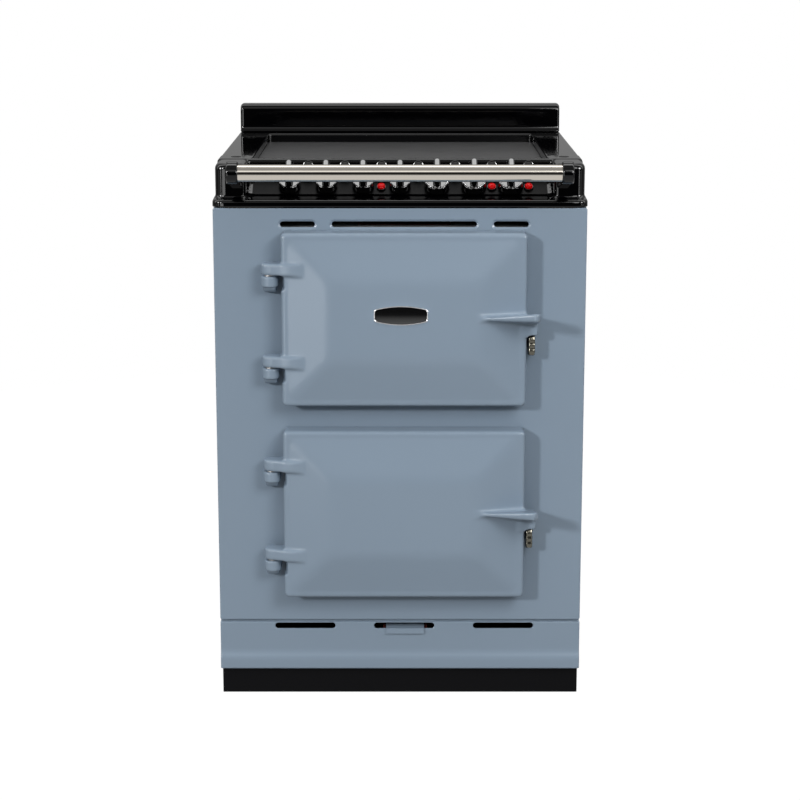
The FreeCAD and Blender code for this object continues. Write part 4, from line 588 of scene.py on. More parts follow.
class DoorPlace:
    """Where one door's casting lies: x across, ahead of the front panel, and z."""

    def __init__(self, prefix, sizes):
        lining_low, lining_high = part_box(f"{prefix}_door_lining")
        door_low, door_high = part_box(f"{prefix}_door")
        pins_low, pins_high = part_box(f"{prefix}_door_pins")
        hinge = JOINTS[f"{prefix}_door_hinge"]["pos_m"]
        self.left = lining_low.x - sizes.wall
        self.right = lining_high.x + sizes.wall
        self.bottom = lining_low.z - sizes.wall
        self.top = lining_high.z + sizes.wall
        self.middle = (self.bottom + self.top) / 2
        self.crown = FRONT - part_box("badge_rim")[1].y
        self.pin_x = hinge[0]
        self.pin_ahead = FRONT - hinge[1]
        self.horn_end = door_high.x
        self.reach = FRONT - door_low.y
        lug_bottom = pins_low.z - sizes.pin_cover
        self.arm_tops = (pins_high.z + sizes.pin_cover,
                         lug_bottom + sizes.lug_height + sizes.lug_gap + sizes.arm_height)


# Softness of the crown's and the border's edges, as shares of the slope between them.
CROWN_SOFT = 0.18
BORDER_SOFT = 0.04
# Hinge arm: bend over the rim and fade into the face.
ARM_BEND = 8 * MM
ARM_FADE = 10 * MM
# Horn: part of its root inside the door, and its fillet on the face.
HORN_BURIED = 20 * MM
HORN_FILLET = 9 * MM
# Room round a catch, and how far a lug's foot is narrower than its head.
CATCH_ROOM = 0.5 * MM
FOOT_INSET = 3.5 * MM
# Catch: half height, back, front corners, foot, and the depth and pitch of its ribs.
CATCH_HALF = 17 * MM
CATCH_BACK = 16 * MM
CATCH_ROUND = 6 * MM
CATCH_FOOT_HALF = 12 * MM
CATCH_FOOT_AHEAD = 22 * MM
CATCH_RIB = 0.5 * MM
CATCH_PITCH = 9 * MM
CATCH_STEP = 1 * MM


def door_face(x, z, place, sizes):
    """How far the pillow face stands ahead: a flat border, four slopes and a flat crown."""
    in_x = np.minimum(x - place.left, place.right - x) - sizes.border
    in_z = np.minimum(z - place.bottom, place.top - z) - sizes.border
    inward = soft_min(in_x, in_z, sizes.ridge)
    share = inward / (sizes.crown_inset - sizes.border)
    share = soft_max(soft_min(share, 1.0, CROWN_SOFT), 0.0, BORDER_SOFT)
    return sizes.rim + (place.crown - sizes.rim) * share


def hinge_arm(x, ahead, z, top, place, sizes):
    """Knuckle round the pin and a tongue that runs over the door's edge and fades into its face."""
    knuckle = np.hypot(x - place.pin_x, ahead - place.pin_ahead) - sizes.knuckle
    shoulder = place.left + sizes.border / 2
    front_at_pin = place.pin_ahead + sizes.knuckle
    front_at_shoulder = sizes.rim + sizes.arm_rise
    climb = (front_at_shoulder - front_at_pin) / (shoulder - place.pin_x)
    rising = front_at_pin + climb * (x - place.pin_x)
    tongue = ahead - soft_min(rising, front_at_shoulder, ARM_BEND)
    tongue = soft_max(tongue, x - (place.left + sizes.arm_reach), ARM_FADE)
    tongue = np.maximum(tongue, place.pin_x - x)
    tongue = np.maximum(tongue, place.pin_ahead - sizes.knuckle - ahead)
    arm = soft_min(knuckle, tongue, LIP)
    return soft_max(arm, np.abs(z - top + sizes.arm_height / 2) - sizes.arm_height / 2, EDGE)


def horn(x, ahead, z, place, sizes):
    """Tilted fin that widens towards its tip, and the leg over the catch."""
    root_z = place.middle - sizes.horn_drop
    tip_x = place.horn_end - sizes.horn_nose
    run = Vector((tip_x - (place.right - sizes.horn_root), place.reach - place.crown)).normalized()
    slant = (ahead - place.reach) * run.x - (x - tip_x) * run.y
    nose = (x - tip_x + ahead - place.reach) / math.sqrt(2)
    plan = soft_max(x - place.horn_end, slant, LIP)
    plan = soft_max(plan, nose, LIP)
    plan = soft_max(plan, sizes.horn_back - ahead, EDGE)
    plan = np.maximum(plan, place.right - sizes.horn_root - HORN_BURIED - x)
    middle = root_z + sizes.horn_middle + (ahead - sizes.horn_back) * math.tan(sizes.horn_tilt)
    share = (x - place.right + sizes.horn_root) / (place.horn_end - place.right + sizes.horn_root)
    half = (sizes.horn_start + (sizes.horn_end - sizes.horn_start) * np.clip(share, 0, 1)) / 2
    fin = soft_max(plan, (np.abs(z - middle) - half) * math.cos(sizes.horn_tilt), EDGE)
    foot = place.middle - sizes.leg_drop
    leg = rounded_plan(x, ahead, (place.right - sizes.wall, sizes.horn_back),
                       (place.horn_end, sizes.leg_ahead), LIP)
    leg = soft_max(leg, between(z, foot, root_z + sizes.horn_middle), LIP)
    return soft_min(fin, leg, EDGE)


def door_field(place, sizes):
    """Hollow pillow plate with its arms, notches, horn and the catch's pocket."""
    catch_low, catch_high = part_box("door_catches")

    def field(x, y, z):
        ahead = FRONT - y
        face = door_face(x, z, place, sizes)
        plate = rounded_plan(x, z, (place.left, place.bottom), (place.right, place.top),
                             sizes.corner)
        plate = soft_max(plate, ahead - face, sizes.rim_round * ROUND)
        for top in place.arm_tops:
            plate = soft_min(plate, hinge_arm(x, ahead, z, top, place, sizes), FILLET)
            arm_bottom = top - sizes.arm_height
            lug_bottom = arm_bottom - sizes.lug_gap - sizes.lug_height
            bevel = sizes.notch * np.clip((ahead - sizes.back) / (sizes.rim - sizes.back), 0, 1)
            notch = rounded_plan(x - bevel, z,
                                 (place.left - 3 * sizes.notch, lug_bottom - sizes.notch_margin),
                                 (place.left, arm_bottom), sizes.notch)
            plate = soft_max(plate, -notch, CRISP)
        plate = soft_min(plate, horn(x, ahead, z, place, sizes), HORN_FILLET)
        plate = soft_max(plate, sizes.back - ahead, CRISP)
        cavity = rounded_plan(x, z, (place.left + sizes.wall, place.bottom + sizes.wall),
                              (place.right - sizes.wall, place.top - sizes.wall), sizes.corner / 2)
        roof = ahead - np.maximum(sizes.rim - sizes.wall / 2, face - sizes.wall)
        plate = np.maximum(plate, -np.maximum(cavity, roof))
        pocket = np.maximum(between(x, catch_low.x - CATCH_ROOM, catch_high.x + CATCH_ROOM),
                            ahead - sizes.pocket_ahead)
        foot = place.middle - sizes.leg_drop
        pocket = np.maximum(pocket, between(z, foot - sizes.wall, foot + sizes.pocket_height))
        return soft_max(plate, -pocket, CRISP / 2)
    return field


class COOKER_OT_cast_doors(bpy.types.Operator):
    """Cast both oven doors with their pillow faces, hinge arms and horns"""
    bl_idname = "cooker.cast_doors"
    bl_label = "Cast the oven doors"

    def execute(self, context):
        sizes = context.scene.cooker_doors
        for prefix in DOORS:
            place = DoorPlace(prefix, sizes)
            low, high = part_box(f"{prefix}_door")
            mesh = cast(f"{prefix}_door_casting", door_field(place, sizes), low, high, sizes.step)
            as_piece(mesh, f"{prefix}_door_body", "enamel_castings", f"{prefix}_door")
        return {"FINISHED"}


def lug_field(place, sizes):
    """Stadium-shaped lugs with round lips and bellied feet."""
    def field(x, y, z):
        ahead = FRONT - y
        result = None
        for top in place.arm_tops:
            lug_top = top - sizes.arm_height - sizes.lug_gap
            bottom = lug_top - sizes.lug_height
            plan = np.hypot(x - place.pin_x, np.maximum(ahead - place.pin_ahead, 0))
            head = soft_max(plan - sizes.knuckle, between(z, bottom, lug_top), LIP)
            belly = np.hypot(ahead / (place.pin_ahead + sizes.knuckle / 2),
                             np.minimum(z - bottom, 0) / sizes.lug_foot) - 1
            foot = np.maximum(belly * place.pin_ahead, z - lug_top + sizes.lug_height / 2)
            side = np.abs(x - place.pin_x) - sizes.knuckle + FOOT_INSET
            foot = soft_max(foot, side, EDGE)
            lug = soft_min(head, foot, LIP)
            result = lug if result is None else np.minimum(result, lug)
        return np.maximum(result, -ahead)
    return field


class COOKER_OT_cast_lugs(bpy.types.Operator):
    """Cast the hinge lugs on the front panel and the metal catches beside the doors"""
    bl_idname = "cooker.cast_lugs"
    bl_label = "Cast the lugs and catches"

    def execute(self, context):
        sizes = context.scene.cooker_doors
        lugs = []
        catches = []
        low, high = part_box("hinge_lugs")
        reach = sizes.lug_height + sizes.lug_foot + sizes.lug_gap + sizes.arm_height
        for prefix in DOORS:
            place = DoorPlace(prefix, sizes)
            lugs += [cast("lug", lug_field(place, sizes), (low.x, low.y, top - reach),
                          (high.x, high.y, top), SMALL_STEP) for top in place.arm_tops]
            catches.append(self.catch(place, sizes))
        as_piece(join_meshes("hinge_lug_castings", lugs), "cooker_body", "enamel_castings",
                 "hinge_lugs")
        as_piece(join_meshes("catch_noses", catches), "cooker_body", "nickel", "door_catches")
        return {"FINISHED"}

    def catch(self, place, sizes):
        """Ribbed nose that bulges to the front on a narrower foot."""
        low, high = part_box("door_catches")
        middle = place.middle - sizes.leg_drop - CATCH_ROOM - CATCH_HALF
        nose_ahead = FRONT - low.y

        def field(x, y, z):
            ahead = FRONT - y
            rib = CATCH_RIB * (1 - np.cos((z - middle) * 2 * math.pi / CATCH_PITCH))
            nose = rounded_plan(ahead + rib, z, (CATCH_BACK, middle - CATCH_HALF),
                                (nose_ahead, middle + CATCH_HALF), CATCH_ROUND)
            foot = rounded_plan(ahead, z, (-CATCH_ROUND, middle - CATCH_FOOT_HALF),
                                (CATCH_FOOT_AHEAD, middle + CATCH_FOOT_HALF), LIP)
            side = soft_min(nose, foot, EDGE)
            return np.maximum(soft_max(side, between(x, low.x, high.x), SIDE), -ahead)

        return cast("catch", field, (low.x, low.y, middle - CATCH_HALF),
                    (high.x, high.y, middle + CATCH_HALF), CATCH_STEP)


def top_hull(x, behind, z, sizes):
    """Outer skin of the top casting without its open underside."""
    flange_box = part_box("top_casting")
    flange_half = flange_box[1].x
    rear = flange_box[1].y - FRONT
    base = flange_box[0].z
    top = flange_box[1].z
    half = -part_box("splashback")[0].x + LAP
    side = np.abs(x)
    flange_top = base + sizes.flange
    edge = sizes.edge_round * ROUND
    flange = soft_max(side - flange_half, -behind, sizes.flange_corner * ROUND)
    flange = soft_max(flange, z - flange_top, edge)
    riser = sizes.slope_start + sizes.slope_length * math.cos(sizes.slope_angle)
    block = soft_max(side - half, riser - behind, edge)
    block = soft_max(block, z - top, edge)
    pod = soft_max(side - half, sizes.pod_front - behind, sizes.pod_outer * ROUND)
    pod = soft_max(pod, half - sizes.pod_width - side, sizes.pod_inner * ROUND)
    pod = soft_max(pod, z - top, sizes.pod_round * ROUND)
    pod = np.maximum(pod, behind - riser - sizes.pod_width)
    off_slope = (z - flange_top) * math.cos(sizes.slope_angle)
    off_slope = off_slope - (behind - sizes.slope_start) * math.sin(sizes.slope_angle)
    slope = np.maximum(off_slope + sizes.fascia, sizes.slope_start - behind)
    slope = np.maximum(slope, side - half + sizes.pod_width - LAP)
    slope = np.maximum(slope, behind - riser - sizes.wall)
    hull = soft_min(block, pod, edge)
    hull = np.minimum(hull, slope)
    hull = soft_min(hull, flange, edge)
    hull = np.maximum(hull, side - flange_half)
    return np.maximum(hull, behind - rear)


def top_field(sizes):
    """Hollow top casting with the hob's well and the ledge under the glass."""
    casting_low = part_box("top_casting")[0]
    glass_low, glass_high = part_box("hob_glass")
    gap = sizes.glass_gap
    well_low = (glass_low.x - gap, glass_low.y - FRONT - gap)
    well_high = (glass_high.x + gap, glass_high.y - FRONT + gap)

    def grown(amount):
        return ([edge - amount for edge in well_low], [edge + amount for edge in well_high])

    def field(x, y, z):
        behind = y - FRONT
        hull = top_hull(x, behind, z, sizes)
        shell = np.maximum(hull, -(hull + sizes.wall))
        tub = rounded_plan(x, behind, *grown(sizes.well_wall), sizes.well_corner)
        tub = np.maximum(tub, glass_low.z - sizes.ledge - z)
        solid = np.minimum(shell, np.maximum(tub, hull))
        well = rounded_plan(x, behind, well_low, well_high, sizes.well_corner)
        well = np.maximum(well, glass_low.z - z)
        mouth = rounded_plan(x, behind, *grown(-sizes.ledge_width), sizes.well_corner)
        solid = soft_max(solid, -well, sizes.edge_round * ROUND / 2)
        solid = np.maximum(solid, -mouth)
        return np.maximum(solid, casting_low.z - z)
    return field


def splash_field(sizes):
    """Hollow bar with round edges and the cove at its foot."""
    low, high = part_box("splashback")
    front = low.y - FRONT + sizes.splash_foot
    rear = high.y - FRONT

    def field(x, y, z):
        behind = y - FRONT
        bar = soft_max(z - high.z, front - behind, sizes.splash_front_round * ROUND)
        bar = soft_max(bar, behind - rear, sizes.splash_rear_round * ROUND)
        cove = sizes.splash_foot - np.hypot(behind - low.y + FRONT, z - low.z - sizes.splash_foot)
        cove = np.maximum(cove, np.abs(behind - front) - sizes.splash_foot)
        cove = np.maximum(cove, z - low.z - sizes.splash_foot)
        bar = np.minimum(bar, cove)
        hollow = np.maximum(between(np.abs(x), -high.x, high.x - sizes.wall),
                            between(behind, front + sizes.wall, rear - sizes.wall))
        hollow = np.maximum(hollow, z - high.z + sizes.splash_front_round)
        bar = soft_max(bar, np.abs(x) - high.x, sizes.splash_rear_round * ROUND)
        return np.maximum(np.maximum(bar, -hollow), low.z - z)
    return field


class COOKER_OT_cast_top(bpy.types.Operator):
    """Cast the black top with its pods, trough and hob well, and the splashback"""
    bl_idname = "cooker.cast_top"
    bl_label = "Cast the top and splashback"

    def execute(self, context):
        sizes = context.scene.cooker_top
        mesh = cast("top_casting_enamelled", top_field(sizes), *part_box("top_casting"), sizes.step)
        as_piece(mesh, "cooker_body", "black_enamel", "top_casting")
        mesh = cast("splashback_enamelled", splash_field(sizes), *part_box("splashback"), sizes.step)
        as_piece(mesh, "cooker_body", "black_enamel", "splashback")
        return {"FINISHED"}


# Share of the badge rim's width that is rounded.
RIM_ROUND = 0.9


def badge_outline(x, z, width, height, end_height):
    """Distance out of a barrel shape with bowed long sides and upright ends."""
    rise = (height - end_height) / 2
    bow = (width ** 2 / 4 + rise ** 2) / (2 * rise)
    long_side = np.hypot(x, np.abs(z) + bow - height / 2) - bow
    return soft_max(long_side, np.abs(x) - width / 2, EDGE)


class COOKER_OT_set_badge(bpy.types.Operator):
    """Set the bare domed plate and its round bright rim on the upper door"""
    bl_idname = "cooker.set_badge"
    bl_label = "Set the badge plate"

    def execute(self, context):
        sizes = context.scene.cooker_badge
        low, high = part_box("badge_rim")
        middle = (low + high) / 2
        width = high.x - low.x
        height = high.z - low.z

        def rim(x, y, z):
            outline = badge_outline(x - middle.x, z - middle.z, width, height, sizes.end_height)
            across = np.abs(outline + sizes.rim / 2) - sizes.rim / 2
            return np.maximum(soft_max(across, low.y - y, sizes.rim * RIM_ROUND), y - high.y)

        def plate(x, y, z):
            outline = badge_outline(x - middle.x, z - middle.z, width, height, sizes.end_height)
            fall = ((x - middle.x) / width) ** 2 + ((z - middle.z) / height) ** 2
            face = low.y + sizes.recess + 2 * sizes.dome * fall
            return np.maximum(np.maximum(outline + sizes.rim / 2, face - y), y - high.y)

        for name, field, slot in (("badge_rim_polished", rim, "badge_chrome"),
                                  ("badge_plate_domed", plate, "badge_black")):
            mesh = cast(name, field, low, high, sizes.step)
            as_piece(mesh, "upper_door_body", slot, name.rsplit("_", 1)[0])
        return {"FINISHED"}


# Softness of the lower panel's ledge, as a share of its slope.
LEDGE_SOFT = 0.6


class COOKER_OT_press_panel(bpy.types.Operator):
    """Press the lower panel with its soft ledge, rolled slots and the flange behind the seam"""
    bl_idname = "cooker.press_panel"
    bl_label = "Press the lower panel"

    def execute(self, context):
        sizes = context.scene.cooker_panel
        low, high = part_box("lower_panel")
        seam_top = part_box("front_panel")[0].z - sizes.seam_gap
        tab_low, tab_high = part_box("pull_out_plate")
        slot_x = (tab_low.x + tab_high.x) / 2 + sizes.tab_shift
        ledge_foot = low.z + sizes.ledge_rise
        step = FRONT - low.y
        back = high.y - FRONT

        def field(x, y, z):
            ahead = FRONT - y
            share = (ledge_foot + sizes.ledge_height - z) / sizes.ledge_height
            face = step * soft_max(soft_min(share, 1.0, LEDGE_SOFT), 0.0, LEDGE_SOFT)
            front = soft_max(ahead - face, z - high.z, sizes.edge_round * ROUND)
            front = soft_max(front, np.abs(x) - high.x, sizes.edge_round * ROUND)
            sheet = np.maximum(front, face - sizes.wall - ahead)
            cheek = np.maximum(front, high.x - sizes.wall - np.abs(x))
            cheek = np.maximum(cheek, -back - ahead)
            flange = np.maximum(between(z, high.z - sizes.wall, seam_top),
                                between(ahead, -sizes.seam_depth - sizes.wall, -sizes.seam_depth))
            flange = np.maximum(flange, np.abs(x) - high.x + LAP)
            panel = np.minimum(np.minimum(sheet, cheek), flange)
            half = sizes.slot_length / 2
            end = sizes.slot_height / 2
            for offset in (-1, 0, 1):
                middle = slot_x + offset * sizes.slot_spacing
                slot = rounded_plan(x, z, (middle - half, high.z - sizes.slot_drop - end),
                                    (middle + half, high.z - sizes.slot_drop + end), end)
                panel = soft_max(panel, -slot, sizes.slot_round)
            return np.maximum(panel, low.z - z)

        mesh = cast("lower_panel_pressed", field, low, (high.x, high.y, seam_top), sizes.step)
        as_piece(mesh, "cooker_body", "enamel_panels", "lower_panel")
        return {"FINISHED"}


# Bracket: grip on the rail's end, fall and inset of its web, and the fillet of its ring.
RAIL_GRIP = 8 * MM
WEB_FALL = 5 * MM
WEB_INSET = 3 * MM
RING_FILLET = 6 * MM


class COOKER_OT_cast_brackets(bpy.types.Operator):
    """Cast the two brackets that hold the handrail"""
    bl_idname = "cooker.cast_brackets"
    bl_label = "Cast the rail brackets"

    def execute(self, context):
        top = context.scene.cooker_top
        rail_low, rail_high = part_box("handrail_bar")
        low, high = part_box("handrail_brackets")
        rail_z = (rail_low.z + rail_high.z) / 2
        rail_y = (rail_low.y + rail_high.y) / 2
        boss = high.z - rail_z
        root = FRONT + top.pod_front
        inner = rail_high.x - RAIL_GRIP
        drop = rail_z - low.z

        def field(x, y, z):
            side = np.abs(x)
            ring = np.hypot(y - rail_y, z - rail_z) - boss
            share = (y - rail_y) / (root - rail_y)
            roof = rail_z + boss - (boss + WEB_FALL) * share
            floor = rail_z - boss + WEB_INSET - (drop - boss + WEB_INSET) * share
            web = soft_max(z - roof, floor - z, EDGE)
            web = np.maximum(web, between(y, rail_y, root))
            arm = soft_min(ring, web, RING_FILLET)
            arm = soft_max(arm, between(side, inner, high.x), SIDE)
            seat = np.maximum(np.hypot(y - rail_y, z - rail_z) - (rail_z - rail_low.z),
                              side - rail_high.x)
            return np.maximum(arm, -seat)

        meshes = [cast("bracket", field, (x0, low.y, low.z), (x1, high.y, high.z), SMALL_STEP)
                  for x0, x1 in ((-high.x, -inner), (inner, high.x))]
        as_piece(join_meshes("rail_bracket_castings", meshes), "cooker_body", "black_enamel",
                 "handrail_brackets")
        return {"FINISHED"}


def slope_matrix(x, along, sizes):
    """Place on the control slope, with local Z off its face and local Y up the slope."""
    tilt = sizes.slope_angle
    flange_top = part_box("top_casting")[0].z + sizes.flange
    y = FRONT + sizes.slope_start + along * math.cos(tilt)
    z = flange_top + along * math.sin(tilt)
    return Matrix.Translation((x, y, z)) @ Matrix.Rotation(tilt, 4, "X")


# Knob: share that its skirt leans in, edges of skirt and grip.
SKIRT_LEAN = 0.08
SKIRT_EDGE = 1.5 * MM
GRIP_EDGE = 4.5 * MM
# Bars on a skirt: in from its edge, sunk in and proud of its top.
MARK_INSET = 1.6 * MM
MARK_SUNK = 0.3 * MM
MARK_PROUD = 0.15 * MM
# Faces of a bar with its four lower corners first.
BAR_FACES = ((3, 2, 1, 0), (4, 5, 6, 7), (0, 1, 5, 4), (1, 2, 6, 5), (2, 3, 7, 6), (3, 0, 4, 7))


def knob_field(radius, grip_top, sizes):
    """Round skirt that leans in and a bar grip across it."""
    def field(x, y, z):
        out = np.hypot(x, y)
        lean = np.clip((z - sizes.skirt_lip) / (sizes.skirt - sizes.skirt_lip), 0, 1)
        skirt = out - radius * (1 - SKIRT_LEAN * lean)
        skirt = soft_max(skirt, between(z, sizes.gap, sizes.skirt), SKIRT_EDGE)
        half = sizes.grip_width / 2
        stretch = np.maximum(np.abs(y) - sizes.grip_length / 2 + half, 0)
        grip = np.hypot(x, stretch) - half
        grip = soft_max(grip, between(z, sizes.skirt / 2, grip_top), GRIP_EDGE)
        return soft_min(skirt, grip, EDGE)
    return field


class COOKER_OT_turn_knobs(bpy.types.Operator):
    """Mould the seven knobs with their skirts and bar grips"""
    bl_idname = "cooker.turn_knobs"
    bl_label = "Mould the knobs"

    def execute(self, context):
        sizes = context.scene.cooker_controls
        for name in HOB_KNOBS + OVEN_KNOBS:
            low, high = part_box(name)
            radius = (high.x - low.x) / 2
            grip_top = sizes.oven_grip if name in OVEN_KNOBS else sizes.hob_grip
            mesh = cast(f"{name}_moulding", knob_field(radius, grip_top, sizes),
                        (-radius, -radius, 0), (radius, radius, grip_top), sizes.step)
            joint = JOINTS[f"{name}_turn"]
            normal = -Vector(joint["axis"])
            place = (Matrix.Translation(joint["pos_m"])
                     @ Matrix.Rotation(math.atan2(-normal.y, normal.z), 4, "X"))
            mesh.transform(place)
            as_piece(mesh, f"{name}_body", "knob_black", name)
            if name in OVEN_KNOBS:
                marks = self.scale_marks(f"{name}_marks", radius, sizes)
                marks.transform(place)
                as_piece(marks, f"{name}_body", "badge_chrome")
        return {"FINISHED"}

    def scale_marks(self, name, radius, sizes):
        """Short plain bars round the top of an oven knob's skirt."""
        verts = []
        faces = []
        outer = radius * (1 - SKIRT_LEAN) - MARK_INSET
        inner = outer - sizes.mark_length
        for index in range(sizes.mark_count):
            angle = math.radians(sizes.mark_start + index * sizes.mark_step)
            out = Vector((math.cos(angle), math.sin(angle), 0.0))
            side = Vector((-out.y, out.x, 0.0)) * sizes.mark_width / 2
            first = len(verts)
            for height in (sizes.skirt - MARK_SUNK, sizes.skirt + MARK_PROUD):
                for reach, turn in ((inner, -1), (outer, -1), (outer, 1), (inner, 1)):
                    verts.append(tuple(out * reach + side * turn + Vector((0.0, 0.0, height))))
            faces += [tuple(first + corner for corner in face) for face in BAR_FACES]
        return new_mesh(name, verts, faces)


# Lens: gap to its bezel, root under the fascia, flutes, and the angles up its dome.
LENS_GAP = 0.05 * MM
LENS_ROOT = 2 * MM
FLUTES = 16
FLUTE_DEPTH = 0.5 * MM
DOME_ANGLES = (0.0, 0.35, 0.7, 1.05, 1.3, 1.5)
# Bezel: its outer bevel, and the width and height of the bevel round the lens.
BEZEL_BEVEL = 0.6 * MM
BEZEL_MOUTH = (0.2 * MM, 0.3 * MM)
# Marker: millimetres in from its side and down from its front, then its dish's share and depth.
MARKER_TURNS = ((0.0, 1.1), (0.3, 0.4), (1.0, 0.0), (1.8, 0.2), (2.4, 1.0))
DISH_SHARE = 0.3
DISH_DEPTH = 1.4 * MM
# Sides of a lens and of the other turned pieces, and the angle from which their edges stay crisp.
LENS_SEGMENTS = 96
RING_SEGMENTS = 64
SHARP_ANGLE = math.radians(35)


class COOKER_OT_fit_lamps(bpy.types.Operator):
    """Fit the fluted lenses, their bezels and the round markers on the riser"""
    bl_idname = "cooker.fit_lamps"
    bl_label = "Fit the lamps and markers"

    def execute(self, context):
        sizes = context.scene.cooker_controls
        lenses = []
        bezels = []
        for name in LIT_KNOBS:
            x = JOINTS[f"{name}_turn"]["pos_m"][0] + sizes.lamp_offset
            place = slope_matrix(x, sizes.lamp_place, context.scene.cooker_top)
            shoulder = sizes.lamp_height - sizes.lamp_dome
            radius = sizes.lamp_radius - LENS_GAP
            dome = [(radius * math.cos(angle), shoulder + sizes.lamp_dome * math.sin(angle))
                    for angle in DOME_ANGLES]
            lenses.append(lathe("lens", [(radius, -LENS_ROOT)] + dome, LENS_SEGMENTS, place,
                                FLUTES, FLUTE_DEPTH))
            outer, height = sizes.bezel_radius, sizes.bezel_height
            ring = [(outer, 0.0), (outer, height - BEZEL_BEVEL), (outer - BEZEL_BEVEL, height),
                    (sizes.lamp_radius + BEZEL_MOUTH[0], height),
                    (sizes.lamp_radius, height - BEZEL_MOUTH[1]), (sizes.lamp_radius, 0.0)]
            bezels.append(lathe("bezel", ring, RING_SEGMENTS, place))
        for title, parts, slot, node in (
                ("lamp_lenses", lenses, "lamp_red", "neon_lamps"),
                ("lamp_bezels", bezels, "bezel_black", "neon_bezels"),
                ("riser_markers", self.markers(sizes), "marker_grey", "zone_markers")):
            piece = as_piece(join_meshes(title, parts), "cooker_body", slot, node)
            piece.data.set_sharp_from_angle(angle=SHARP_ANGLE)
        return {"FINISHED"}

    def markers(self, sizes):
        """Dished discs on the riser, one behind each knob."""
        low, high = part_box("zone_markers")
        depth = high.y - low.y
        radius = sizes.marker_radius
        shift = high.x - radius - JOINTS["lower_oven_knob_turn"]["pos_m"][0]
        disc = [(radius, 0.0)]
        disc += [(radius - inset * MM, depth - drop * MM) for inset, drop in MARKER_TURNS]
        disc.append((radius * DISH_SHARE, depth - DISH_DEPTH))
        places = [Matrix.Translation((JOINTS[f"{name}_turn"]["pos_m"][0] + shift, high.y,
                                      (low.z + high.z) / 2)) @ Matrix.Rotation(math.pi / 2, 4, "X")
                  for name in HOB_KNOBS + OVEN_KNOBS]
        return [lathe("marker", disc, RING_SEGMENTS, place) for place in places]


class COOKER_OT_dress_frame(bpy.types.Operator):
    """Give every carried-over part its finish"""
    bl_idname = "cooker.dress_frame"
    bl_label = "Enamel and finish the parts"

    def execute(self, context):
        for subpart in frame["record"]["subparts"]:
            slot = subpart["material_slot"]
            # The parts behind the slots get the painted shade colour in place of their own slot's finish.
            if subpart["node"] in SLOT_SHADE_PARTS:
                slot = "dark_inside"
            materials = frame["nodes"][subpart["node"]].data.materials
            materials.clear()
            materials.append(finish_for(slot))
        return {"FINISHED"}


class Lamp(NamedTuple):
    """Area lamp, with the setting that holds its power, and whether only gloss sees it."""
    name: str
    width: float
    height: float
    power: str
    places: tuple
    target: tuple
    mirrored_only: bool


LAMPS = (
    Lamp("key_light", 0.5, 0.5, "key_watts", ((-3.4, -4.97, 2.65),), (0.0, FRONT, 0.55), False),
    Lamp("side_strip", 0.6, 0.8, "strip_watts", ((-2.2, -1.5, 1.5), (2.2, -1.5, 1.5)),
         (0.0, 0.0, 0.8), True),
    Lamp("edge_strip", 0.25, 0.3, "edge_watts", ((-2.4, -1.9, 0.62), (2.4, -1.9, 0.62)),
         (0.0, 0.0, 0.8), True),
    Lamp("right_fill", 0.8, 0.8, "fill_watts", ((0.85, -1.85, 1.6),), (0.0, FRONT, 0.65), False),
    Lamp("left_sheen", 0.9, 1.3, "sheen_watts", ((-1.5, -2.7, 0.45),), (0.0, FRONT, 0.5), True),
)
WHITE = (1.0, 1.0, 1.0, 1.0)
# Floor: its paint with its drift, roughness, the glow that makes it white, and the glow's share.
FLOOR_GREY = (0.3, 0.3, 0.3, 1.0)
FLOOR_DRIFT = 0.02
FLOOR_DRIFT_SCALE = 2.0
FLOOR_ROUGHNESS = 0.9
FLOOR_GLOW = 1.1
FLOOR_SHARE = 0.9
# Height of a direction at which the soft light begins to rise from its low to its high level.
FILL_START = 0.1


